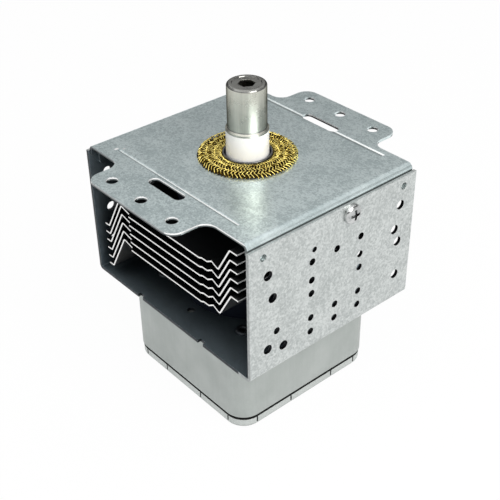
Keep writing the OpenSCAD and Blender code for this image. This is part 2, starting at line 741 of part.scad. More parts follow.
// Copper rod from a vane through the upper pole piece and the insulator into the exhaust tube
module antenna_rod() {
    line = bent([[rod_foot_x, z_vane_top], [rod_foot_x, z_anode_top - pole_t], [0, z_plate - 2 * plate_t],
        [0, z_plate + insulator_top + seal_disc_t + exhaust_h - gasket_clear]], rod_bend_r, fold_n);
    color(copper) wire([for (q = line) [q[0], 0, q[1]]], rod_d, [1, 0, 0], rod_sides);
}

// Sleeve that rises from the upper pole piece and carries the insulator in a seat below its rim
module output_sleeve() {
    foot = z_upper_seal;
    seat = z_plate - insulator_foot;
    top = z_plate + rim_h;
    mid = sleeve_r - sleeve_t / 2;
    inner = sleeve_r - sleeve_t;
    color(dark_steel) rotate_extrude() polygon(concat(
        [[inner, foot], [seal_d / 2, foot], [seal_d / 2, foot + seal_t], [sleeve_r, foot + seal_t]],
        arc([mid, top - sleeve_t / 2], sleeve_t / 2, 0, 180),
        [[inner, seat], [seat_hole_d / 2, seat], [seat_hole_d / 2, seat - sleeve_t],
            [inner, seat - sleeve_t]]));
}

// Ring of knitted wire, drawn as concentric rows of loops
module rf_gasket() {
    r0 = sleeve_r + gasket_clear;
    row = (gasket_d / 2 - r0) / gasket_rows;
    top = [for (k = [0:gasket_rows - 1]) for (i = [0:bend_n - 1])
        [r0 + row * (k + i / bend_n), gasket_flank + (gasket_h - gasket_flank) * sin(180 * i / bend_n)]];
    color(mesh_brass) translate([0, 0, z_plate]) rotate_extrude()
        polygon(concat([[gasket_d / 2, gasket_flank], [gasket_d / 2 - row, 0], [r0, 0]], top));
}

module magnet() {
    tube(magnet_r, passage_r, magnet_t);
}

module upper_magnet() {
    color(ferrite) translate([0, 0, z_upper_magnet]) magnet();
}

module lower_magnet() {
    color(ferrite) translate([0, 0, z_floor]) magnet();
}

// Funnel with its rim's outer face at zero and its nose below
module pole_piece() {
    hole = pole_hole_d / 2;
    nose = hole + pole_nose_w;
    mouth = nose + pole_depth;
    lean = pole_t * (sqrt(2) - 1);
    rotate_extrude() polygon([[anode_r, 0], [mouth, 0], [nose, -pole_depth], [hole, -pole_depth],
        [hole, -pole_depth - pole_t], [nose + lean, -pole_depth - pole_t], [mouth + lean, -pole_t],
        [anode_r, -pole_t]]);
}

module upper_pole_piece() {
    color(dark_steel) difference() {
        translate([0, 0, z_upper_seal]) pole_piece();
        translate([rod_foot_x, 0, z_vane_top])
            cylinder(d = pole_rod_d, h = z_upper_seal - z_vane_top + cut);
    }
}

module lower_pole_piece() {
    color(dark_steel) translate([0, 0, z_lower_pole]) mirror([0, 0, 1]) pole_piece();
}

module anode_cylinder() {
    color(copper) translate([0, 0, z_anode]) tube(anode_r, anode_bore_r, anode_h);
}

// Slot for a strap ring at the top edge of a vane, tight where it is joined and clear where it is skipped
module strap_slot(inside_d, joined) {
    play = joined ? braze_gap : strap_clear;
    depth = joined ? strap_h : strap_h + strap_clear;
    translate([0, 0, vane_h / 2 - depth])
        tube(inside_d / 2 + strap_w + play, inside_d / 2 - play, depth + cut);
}

// Radial vanes that meet the anode's bore, slotted in turn for the small and the large straps
module anode_vanes() {
    reach = anode_bore_r - braze_gap;
    color(copper) translate([0, 0, z_vane_mid]) for (i = [0:vane_count - 1]) difference() {
        intersection() {
            rotate(360 * i / vane_count) translate([0, -vane_t / 2, -vane_h / 2])
                cube([anode_r, vane_t, vane_h]);
            cylinder(r = reach, h = vane_h, center = true);
        }
        cylinder(d = vane_bore_d, h = vane_h + 2 * cut, center = true);
        for (m = [0, 1]) mirror([0, 0, m]) {
            strap_slot(strap_small_d, i % 2 == m);
            strap_slot(strap_large_d, i % 2 != m);
        }
    }
}

// Two straps at the top and two at the foot of the vanes
module strap_rings() {
    color(copper) translate([0, 0, z_vane_mid]) for (m = [0, 1]) mirror([0, 0, m])
        for (d = [strap_small_d, strap_large_d])
            translate([0, 0, vane_h / 2 - strap_h]) tube(d / 2 + strap_w, d / 2, strap_h);
}

// Helical filament between the end hats
module cathode_filament() {
    steps = 12;
    foot = z_vane_foot + hat_in + filament_wire_d / 2 + lead_fit;
    rise = vane_h - 2 * hat_in - filament_wire_d - 2 * lead_fit;
    route = [for (i = [0:filament_turns * steps]) let (a = 360 * i / steps)
        [filament_d / 2 * cos(a), filament_d / 2 * sin(a), foot + rise * i / (filament_turns * steps)]];
    color(tungsten) wire(route, filament_wire_d, [1, 0, 0], filament_sides);
}

module upper_end_hat() {
    color(tungsten) translate([0, 0, z_vane_top - hat_in]) cylinder(d = hat_d, h = hat_t);
}

module lower_end_hat() {
    color(tungsten) translate([0, 0, z_vane_foot + hat_in - hat_t])
        tube(hat_d / 2, lead_d / 2 + hat_clear, hat_t);
}

module centre_lead() {
    top = z_vane_top - hat_in;
    color(tungsten) translate([0, 0, z_lead_end]) cylinder(d = lead_d, h = top - z_lead_end);
}

module side_lead() {
    top = z_vane_foot + hat_in - hat_t;
    color(tungsten) translate([side_lead_x, 0, z_lead_end]) cylinder(d = lead_d, h = top - z_lead_end);
}

// Sleeve that hangs from the lower pole piece through magnet and yoke and carries the ceramic stem
module stem_sleeve() {
    top = z_lower_pole;
    inner = sleeve_r - sleeve_t;
    color(dark_steel) rotate_extrude() polygon([[inner, top], [seal_d / 2, top], [seal_d / 2, top - seal_t],
        [sleeve_r, top - seal_t], [sleeve_r, z_stem], [seat_hole_d / 2, z_stem],
        [seat_hole_d / 2, z_stem + sleeve_t], [inner, z_stem + sleeve_t]]);
}

// Holes for the two leads
module lead_holes() {
    for (x = [0, side_lead_x]) translate([x, 0, z_lead_end])
        cylinder(d = lead_d + 2 * lead_fit, h = z_stem - z_lead_end + cut);
}

module stem_insulator() {
    color(alumina) difference() {
        translate([0, 0, z_feed]) cylinder(d = stem_d, h = stem_h);
        lead_holes();
    }
}

// Feed plates under the stem, one for each lead
module stem_terminals() {
    split = side_lead_x / 2;
    color(tin) for (x = [[-feed_l, split - feed_t / 2], [split + feed_t / 2, feed_l]]) difference() {
        translate([x[0], -feed_w / 2, z_feed - feed_t]) cube([x[1] - x[0], feed_w, feed_t]);
        lead_holes();
    }
}

// Line of a fin's section from the low wing across the flat to the high wing
function fin_line() =
    let (inside_x = wall_x - frame_t, low_end = inside_x - low_wall_gap, low_bend = anode_r + flat_margin,
        high_end = inside_x - high_wall_gap, foot = magnet_r + foot_gap)
    [[-low_end, -wing_fall], [low_tip_w - low_end, -wing_fall], [-low_bend - shoulder_w, shoulder_h],
        [-low_bend, 0], [foot - foot_w, 0], [foot, -foot_dip], [high_end - high_tip_w, wing_rise],
        [high_end, wing_rise]];

// Front half of a fin's plan, stepped back at the wings
function fin_plan() =
    let (y = half_d - fin_inset, low = -anode_r - flat_margin, high = magnet_r + foot_gap - foot_w,
        step = high - step_w)
    [[-wall_x, y - low_setback], [low - slant_l, y - low_setback], [low, y], [step - slant_l, y],
        [step, y - step_setback], [high - slant_l, y - step_setback], [high, y - high_setback],
        [wall_x, y - high_setback]];

// Fin i, counted from the top, with a collar that grips the anode
module cooling_fin(i) {
    plan = fin_plan();
    grip = anode_r + collar_fit;
    span = wing_fall + wing_rise + 2 * fin_t;
    color(fin_aluminium) translate([0, 0, z_anode_top - fin_top_land - (i - 1) * fin_pitch]) difference() {
        union() {
            intersection() {
                rotate([90, 0, 0]) linear_extrude(yoke_d, center = true)
                    polygon(sheet(bent(fin_line(), fin_bend_r, fold_n), fin_t));
                translate([0, 0, -wing_fall - fin_t]) linear_extrude(span)
                    polygon(concat(plan, turned([for (q = plan) [q[0], -q[1]]])));
            }
            translate([0, 0, -collar_h]) cylinder(r = grip + fin_t, h = collar_h);
        }
        translate([0, 0, -span]) cylinder(r = grip, h = 2 * span);
    }
}

// Drawn box, open below, with a joggled rim that the lid's fingers close on
module filter_box() {
    joggle_r = box_r - joggle;
    top = z_yoke - draw_r;
    profile = concat([[joggle_r, lid_bend_r], [joggle_r, z_joggle], [box_r, z_joggle + joggle]],
        arc([box_r - draw_r, top], draw_r, 0, 90), [[0, z_yoke], [0, z_yoke - box_t]],
        arc([box_r - draw_r, top], draw_r - box_t, 90, 0),
        [[box_r - box_t, z_joggle + joggle], [joggle_r - box_t, z_joggle], [joggle_r - box_t, lid_bend_r]]);
    color(drawn_steel) difference() {
        pan(z_yoke - box_t, box_t) polygon(profile);
        translate([0, 0, z_yoke - box_t - cut]) {
            cylinder(r = sleeve_r + box_stem_clear, h = box_t + 2 * cut);
            for (a = [45:90:315]) rotate(a) translate([rivet_xy * sqrt(2), 0, 0])
                cylinder(d = rivet_d + 2 * rivet_fit, h = box_t + 2 * cut);
        }
        translate([0, 0, capacitor_z]) {
            obround(capacitor_w + 2 * capacitor_clear, capacitor_h + 2 * capacitor_clear, corner_x,
                box_x + cut);
            for (s = [-1, 1]) translate([s * ear_x, box_x + cut, 0]) rotate([90, 0, 0])
                cylinder(d = rivet_d + 2 * rivet_fit, h = box_t + 2 * cut);
        }
    }
}

// Pressed lid with its rim slit into fingers
module filter_lid() {
    r = box_r - finger_inset;
    c = [r - lid_bend_r, lid_bend_r];
    profile = concat([[0, lid_t], [0, 0]], arc(c, lid_bend_r, -90, 0),
        [[r, finger_h], [r - lid_t, finger_h]], arc(c, lid_bend_r - lid_t, 0, -90));
    color(drawn_steel) difference() {
        pan(0, lid_t) polygon(profile);
        for (a = [0, 180]) rotate(a) {
            for (s = [-1, 1]) {
                for (x = [slit_shift_front + s * slit_pitch / 2, s * corner_x])
                    translate([a == 0 ? x : -x, -box_x, lid_bend_r])
                        translate([-slit_w / 2, 0, 0]) cube([slit_w, box_r, finger_h]);
                for (y = [slit_shift_side + s * slit_pitch / 2, s * corner_x])
                    translate([box_x - box_r, a == 0 ? y : -y, lid_bend_r])
                        translate([0, -slit_w / 2, 0]) cube([box_r, slit_w, finger_h]);
            }
        }
    }
}

// Hollow rivet through sheets of thickness t below zero, with a flared end on each side
module hollow_rivet(t) {
    bore = rivet_bore_d / 2;
    shank = rivet_d / 2;
    head = rivet_head_d / 2;
    mid = (bore + head) / 2;
    half = (head - bore) / 2;
    crown = [for (a = [0:15:180]) [mid + half * cos(a), rivet_head_h * sin(a)]];
    rotate_extrude() polygon(concat(crown, [for (q = turned(crown)) [q[0], -t - q[1]]],
        [[head, -t], [shank, -t], [shank, 0]]));
}

module box_rivets() {
    color(tin) for (a = [45:90:315]) rotate(a) translate([rivet_xy * sqrt(2), 0, z_floor])
        hollow_rivet(frame_t + box_t);
}

module choke_cores() {
    color(ferrite) for (s = [-1, 1]) translate([s * choke_x, core_l / 2, z_choke]) rotate([90, 0, 0])
        cylinder(d = core_d, h = core_l);
}

// Windings from the feed plates round the cores to the capacitor's studs
module choke_coils() {
    steps = 14;
    stud_y = box_x - capacitor_in - stud_past - choke_end_gap - choke_wire_d / 2;
    start_y = -winding_l / 2;
    near_x = choke_x - winding_r;
    coil = [for (i = [0:choke_turns * steps]) let (a = 180 + 360 * i / steps)
        [choke_x + winding_r * cos(a), start_y + winding_l * i / (choke_turns * steps),
            z_choke + winding_r * sin(a)]];
    feed_x = feed_l - choke_wire_d;
    route = concat([[feed_x, 0, z_choke], [feed_x, start_y / 2, z_choke],
        [(feed_x + near_x) / 2, start_y + choke_wire_d, z_choke]], coil,
        [[terminal_pitch / 2 + choke_wire_d, stud_y - choke_wire_d, z_choke],
            [terminal_pitch / 2, stud_y, capacitor_z]]);
    color(copper) for (m = [0, 1]) mirror([m, 0, 0]) wire(route, choke_wire_d, [0, 0, 1], choke_sides);
}

module capacitor_body() {
    outer = box_x + capacitor_flange_t + capacitor_out;
    color(brown_resin) translate([0, 0, capacitor_z]) difference() {
        union() {
            obround(capacitor_w, capacitor_h, box_x - capacitor_in, outer);
            translate([-barrier_t / 2, outer - barrier_t, -capacitor_h / 2])
                cube([barrier_t, barrier_t + barrier_out, capacitor_h]);
        }
        for (s = [-1, 1]) translate([s * terminal_pitch / 2, outer + cut, 0]) rotate([90, 0, 0])
            cylinder(d = stud_d + 2 * lead_fit, h = outer - box_x + capacitor_in + 2 * cut);
    }
}

// Steel plate that fixes the capacitor to the box's wall
module capacitor_flange() {
    color(tin) translate([0, 0, capacitor_z]) difference() {
        obround(capacitor_w + 2 * capacitor_ear, capacitor_h + 2 * capacitor_margin, box_x,
            box_x + capacitor_flange_t);
        obround(capacitor_w + 2 * capacitor_clear, capacitor_h + 2 * capacitor_clear, box_x - cut,
            box_x + capacitor_flange_t + cut);
        for (s = [-1, 1]) translate([s * ear_x, box_x + capacitor_flange_t + cut, 0]) rotate([90, 0, 0])
            cylinder(d = rivet_d + 2 * rivet_fit, h = capacitor_flange_t + 2 * cut);
    }
}

// Side view of a blade from its foot on the capacitor to its tip
module blade() {
    w = blade_w / 2;
    c = blade_chamfer;
    difference() {
        polygon([[0, -w], [blade_l - c, -w], [blade_l, c - w], [blade_l, w - c], [blade_l - c, w], [0, w]]);
        translate([blade_l - blade_hole_in, 0]) circle(d = blade_hole_d);
    }
}

// Studs through the capacitor with a flat blade outside
module capacitor_terminals() {
    outer = box_x + capacitor_flange_t + capacitor_out;
    inner = box_x - capacitor_in - stud_past;
    color(tin) for (s = [-1, 1]) translate([s * terminal_pitch / 2, 0, capacitor_z]) {
        translate([0, outer, 0]) rotate([90, 0, 0]) cylinder(d = stud_d, h = outer - inner);
        translate([-blade_t / 2, outer, 0]) rotate([90, 0, 90]) linear_extrude(blade_t) blade();
    }
}

module capacitor_rivets() {
    color(tin) for (s = [-1, 1]) translate([s * ear_x, box_x + capacitor_flange_t, capacitor_z])
        rotate([-90, 0, 0]) hollow_rivet(capacitor_flange_t + box_t);
}

yoke_plate();
yoke_frame();
yoke_screws();
antenna_cap();
output_insulator();
output_seal();
exhaust_tube();
antenna_rod();
output_sleeve();
rf_gasket();
upper_magnet();
lower_magnet();
upper_pole_piece();
lower_pole_piece();
anode_cylinder();
anode_vanes();
strap_rings();
cathode_filament();
upper_end_hat();
lower_end_hat();
centre_lead();
side_lead();
stem_sleeve();
stem_insulator();
stem_terminals();
cooling_fin(1);  // cooling_fin_1
cooling_fin(2);  // cooling_fin_2
cooling_fin(3);  // cooling_fin_3
cooling_fin(4);  // cooling_fin_4
cooling_fin(5);  // cooling_fin_5
cooling_fin(6);  // cooling_fin_6
filter_box();
filter_lid();
box_rivets();
choke_cores();
choke_coils();
capacitor_body();
capacitor_flange();
capacitor_terminals();
capacitor_rivets();
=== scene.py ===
"""Dresses the microwave-oven magnetron: finishes, knitted gasket, plain studio and camera.

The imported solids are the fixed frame. Lengths are metres, Z runs up the antenna, X runs across the perforated
walls and Y runs along the cooling air.
"""
from __future__ import annotations

import logging
import math
from dataclasses import dataclass
from enum import Enum
from typing import Any, Mapping, Sequence

import bpy
from mathutils import Matrix, Vector

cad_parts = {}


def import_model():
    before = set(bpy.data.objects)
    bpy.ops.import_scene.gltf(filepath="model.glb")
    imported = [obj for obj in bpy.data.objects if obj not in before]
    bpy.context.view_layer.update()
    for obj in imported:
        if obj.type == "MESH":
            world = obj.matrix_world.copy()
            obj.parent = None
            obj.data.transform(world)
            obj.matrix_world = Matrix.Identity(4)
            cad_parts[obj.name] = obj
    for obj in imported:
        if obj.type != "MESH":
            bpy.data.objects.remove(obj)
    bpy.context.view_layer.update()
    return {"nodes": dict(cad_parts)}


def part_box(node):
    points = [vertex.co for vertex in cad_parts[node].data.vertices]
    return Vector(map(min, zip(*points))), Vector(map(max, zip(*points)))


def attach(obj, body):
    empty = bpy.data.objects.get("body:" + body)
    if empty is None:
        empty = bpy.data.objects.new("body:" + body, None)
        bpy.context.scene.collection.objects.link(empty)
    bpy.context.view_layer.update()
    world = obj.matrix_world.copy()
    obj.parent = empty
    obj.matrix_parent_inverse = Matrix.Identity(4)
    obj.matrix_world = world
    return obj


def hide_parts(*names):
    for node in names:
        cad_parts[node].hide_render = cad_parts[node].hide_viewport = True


LOG = logging.getLogger("magnetron")
MM = 0.001
NOWHERE = -1.0 * MM
BODY = "root"
X, Y, Z = range(3)
Colour = tuple[float, float, float]
Span = tuple[float, float]
EVEN: Colour = (1.0, 1.0, 1.0)
MIDDLE = 0.5
NOISE_ROUGHNESS = 0.55
SHADE_SAMPLES = 6
BEVEL_SAMPLES = 4
EDGE_LIKENESS: Span = (0.985, 0.9)
UPRIGHT: Span = (0.35, 0.1)
SQUARE: Span = (0.9, 0.97)
KNIT_SIZES = ("Rows", "Loops", "Inner", "Outer", "Wire", "Crown", "Flank", "Weave", "Swing", "Stray")


class Sock:
    """A node's output that takes part in arithmetic; every operator adds a Math node."""

    def __init__(self, graph: "Graph", socket: bpy.types.NodeSocket) -> None:
        """Keeps the graph and the socket."""
        self.graph = graph
        self.socket = socket

    def _math(self, operation: str, left: Any, right: Any) -> "Sock":
        """Adds one Math node for two operands."""
        return self.graph.node("ShaderNodeMath", {"operation": operation}, {0: left, 1: right})

    def __add__(self, other: Any) -> "Sock":
        """Sum."""
        return self._math("ADD", self, other)

    def __sub__(self, other: Any) -> "Sock":
        """Difference."""
        return self._math("SUBTRACT", self, other)

    def __rsub__(self, other: Any) -> "Sock":
        """Reflected difference."""
        return self._math("SUBTRACT", other, self)

    def __mul__(self, other: Any) -> "Sock":
        """Product."""
        return self._math("MULTIPLY", self, other)

    def __truediv__(self, other: Any) -> "Sock":
        """Quotient."""
        return self._math("DIVIDE", self, other)

    def __pow__(self, other: Any) -> "Sock":
        """Power."""
        return self._math("POWER", self, other)

    def __abs__(self) -> "Sock":
        """Absolute value."""
        return self._math("ABSOLUTE", self, 0.0)


class Graph:
    """A node tree that is written as expressions."""

    def __init__(self, tree: bpy.types.NodeTree) -> None:
        """Keeps the tree."""
        self.tree = tree

    @staticmethod
    def pick(sockets: Any, key: int | str) -> bpy.types.NodeSocket:
        """Finds a socket by position, identifier or name.

        Args:
            sockets: a node's inputs or outputs.
            key: the position, identifier or name.

        Returns:
            The socket.
        """
        if isinstance(key, int):
            return sockets[key]
        for socket in sockets:
            if socket.identifier == key:
                return socket
        return sockets[key]

    def feed(self, socket: bpy.types.NodeSocket, value: Any) -> None:
        """Links or sets one input.

        Args:
            socket: the input socket.
            value: a Sock to link, or a plain value to set.
        """
        if isinstance(value, Sock):
            self.tree.links.new(value.socket, socket)
        elif socket.type == "RGBA" and len(value) == 3:
            socket.default_value = (*value, 1.0)
        else:
            socket.default_value = value

    def node(self, kind: str, settings: Mapping[str, Any] | None = None,
             inputs: Mapping[int | str, Any] | None = None, output: int | str = 0) -> Sock:
        """Adds any node.

        Args:
            kind: the node's type.
            settings: properties, set first; stops fills a colour ramp.
            inputs: values or links of its sockets.
            output: the output that is wanted.

        Returns:
            The chosen output.
        """
        made = self.tree.nodes.new(kind)
        for key, value in (settings or {}).items():
            if key == "stops":
                self._fill_ramp(made.color_ramp, value)
            else:
                setattr(made, key, value)
        for key, value in (inputs or {}).items():
            self.feed(self.pick(made.inputs, key), value)
        return Sock(self, self.pick(made.outputs, output))

    @staticmethod
    def _fill_ramp(ramp: bpy.types.ColorRamp, stops: Sequence[tuple[float, Colour]]) -> None:
        """Sets the stops of a colour ramp.

        Args:
            ramp: the new ramp.
            stops: places from 0 to 1, each with its colour.
        """
        while len(ramp.elements) < len(stops):
            ramp.elements.new(MIDDLE)
        for element, (place, colour) in zip(ramp.elements, stops):
            element.position = place
            element.color = (*colour, 1.0)

    def other_output(self, sock: Sock, key: int | str) -> Sock:
        """Another output of the node that gave sock."""
        return Sock(self, self.pick(sock.socket.node.outputs, key))

    def blend(self, factor: Any, a: Any, b: Any) -> Sock:
        """Mixes two colours.

        Args:
            factor: share of the second colour.
            a: first colour.
            b: second colour.

        Returns:
            The mixed colour.
        """
        return self.node("ShaderNodeMix", {"data_type": "RGBA", "blend_type": "MIX"},
                         {"Factor_Float": factor, "A_Color": a, "B_Color": b}, "Result_Color")

    def ramp(self, value: Any, low: float, high: float, to_low: float = 0.0, to_high: float = 1.0) -> Sock:
        """Smooth step of a value between two limits.

        Args:
            value: the number that is mapped.
            low: where the step starts.
            high: where the step ends.
            to_low: result at the start.
            to_high: result at the end.

        Returns:
            The mapped number.
        """
        return self.node("ShaderNodeMapRange", {"interpolation_type": "SMOOTHSTEP"},
                         {"Value": value, "From Min": low, "From Max": high,
                          "To Min": to_low, "To Max": to_high})

    def within(self, value: Any, low: float, high: float, soft: float) -> Sock:
        """One where a value lies between two limits, with soft ends."""
        return self.ramp(value, low - soft, low) * self.ramp(value, high + soft, high)

    def either(self, a: Any, b: Any) -> Sock:
        """The larger of two numbers, which joins two masks."""
        return self.node("ShaderNodeMath", {"operation": "MAXIMUM"}, {0: a, 1: b})

    def unary(self, operation: str, value: Any) -> Sock:
        """One Math node with a single operand, such as a sine."""
        return self.node("ShaderNodeMath", {"operation": operation}, {0: value})

    def place(self, stretch: Colour = EVEN) -> Sock:
        """Object coordinates, stretched along the axes for grain that runs one way.

        Args:
            stretch: scale along each axis.

        Returns:
            The coordinates, in metres times the stretch.
        """
        spot = self.node("ShaderNodeTexCoord", output="Object")
        if stretch == EVEN:
            return spot
        return self.node("ShaderNodeMapping", {}, {"Vector": spot, "Scale": stretch})

    def cells(self, scale: float) -> Sock:
        """A random shade for each crystal of a spangle.

        Args:
            scale: crystals per metre.

        Returns:
            The shade, from 0 to 1.
        """
        colour = self.node("ShaderNodeTexVoronoi", {"feature": "F1"},
                           {"Vector": self.place(), "Scale": scale, "Randomness": 1.0}, "Color")
        return self.node("ShaderNodeSeparateColor", {}, {0: colour})

    def tone(self, *layers: tuple[Sock, "Grain"]) -> Sock:
        """Sums patterns about their middle.

        Args:
            layers: patterns from 0 to 1, each with the grain that gives its share.

        Returns:
            The sum, with its middle at one half.
        """
        total: Any = MIDDLE
        for pattern, grain in layers:
            total = (pattern - MIDDLE) * grain.share + total
        return total

    def along(self, axis: int) -> Sock:
        """Place along one of the object's axes, in metres."""
        return self.node("ShaderNodeSeparateXYZ", {}, {0: self.place()}, axis)

    def looking(self, axis: int) -> Sock:
        """How far a face looks along one of the object's axes, from -1 to 1."""
        normal = self.node("ShaderNodeNewGeometry", output="True Normal")
        return self.node("ShaderNodeSeparateXYZ", {}, {0: normal}, axis)

    def facing(self, axis: int) -> Sock:
        """How squarely a face looks either way along one of the object's axes, from 0 to 1."""
        return abs(self.looking(axis))

    def square(self, axis: int) -> Sock:
        """Marks faces that lie square across an axis."""
        return self.ramp(self.facing(axis), *SQUARE)

    def upright(self) -> Sock:
        """Marks faces that stand upright."""
        return self.ramp(self.facing(Z), *UPRIGHT)

    def sharp_edge(self, radius: float) -> Sock:
        """One on sharp edges within the radius and nothing on open faces.

        Args:
            radius: how far from an edge the wear reaches, in metres.

        Returns:
            The mask, from 0 to 1.
        """
        rounded = self.node("ShaderNodeBevel", {"samples": SHADE_SAMPLES}, {"Radius": radius})
        flat = self.node("ShaderNodeNewGeometry", output="True Normal")
        likeness = self.node("ShaderNodeVectorMath", {"operation": "DOT_PRODUCT"},
                             {0: rounded, 1: flat}, "Value")
        return self.ramp(likeness, *EDGE_LIKENESS)

    def occlusion(self, reach: float) -> Sock:
        """Open sky over a point, from 0 in a corner to 1 in the open; the finishes paint shade with it."""
        return self.node("ShaderNodeAmbientOcclusion", {"samples": SHADE_SAMPLES}, {"Distance": reach}, "AO")

    def relief(self, height: Any, depth: float, edge: float = 0.0) -> Sock:
        """Surface normal from a height and, for cut edges, a small worn radius.

        Args:
            height: height pattern from 0 to 1.
            depth: depth of the pattern in metres.
            edge: radius of the worn edges in metres, or nothing.

        Returns:
            The normal.
        """
        inputs: dict[int | str, Any] = {"Height": height, "Distance": depth, "Strength": 1.0}
        if edge > 0.0:
            inputs["Normal"] = self.node("ShaderNodeBevel", {"samples": BEVEL_SAMPLES}, {"Radius": edge})
        return self.node("ShaderNodeBump", {}, inputs)


@dataclass(frozen=True)
class Grain:
    """A noise pattern and its share in a finish."""

    scale: float
    detail: float
    share: float = 1.0
    stretch: Colour = EVEN

    def pattern(self, graph: Graph) -> Sock:
        """Fractal noise between 0 and 1.

        Args:
            graph: the material's node tree.

        Returns:
            The noise.
        """
        return graph.node("ShaderNodeTexNoise", {"noise_dimensions": "3D"},
                          {"Vector": graph.place(self.stretch), "Scale": self.scale, "Detail": self.detail,
                           "Roughness": NOISE_ROUGHNESS})


@dataclass(frozen=True)
class DirtAndShade:
    """Painted shade, with some soiling, where little sky is open over a spot: corners, recesses and joints turn
    darker.
    """

    colour: Colour
    reach: float
    shut: float
    clear: float
    most: float

    def mask(self, graph: Graph) -> Sock:
        """How much painted shade and soiling lie on a spot."""
        return graph.ramp(graph.occlusion(self.reach), self.shut, self.clear, self.most, 0.0)

    def over(self, graph: Graph, clean: Any) -> Sock:
        """Darkens a clean colour with painted shade and soiling where little sky is open."""
        return graph.blend(self.mask(graph), clean, self.colour)


class Finish:
    """A surface finish that turns into one material."""

    name: str

    def material(self) -> bpy.types.Material:
        """Builds the material once and keeps it.

        Returns:
            The material of this finish.
        """
        known = bpy.data.materials.get(self.name)
        if known is not None:
            return known
        made = bpy.data.materials.new(self.name)
        made.use_nodes = True
        graph = Graph(made.node_tree)
        shader = made.node_tree.nodes["Principled BSDF"]
        for key, value in self.paint(graph).items():
            graph.feed(shader.inputs[key], value)
        return made

    def paint(self, graph: Graph) -> dict[str, Any]:
        """Gives the shader's inputs, as values or links."""
        raise NotImplementedError


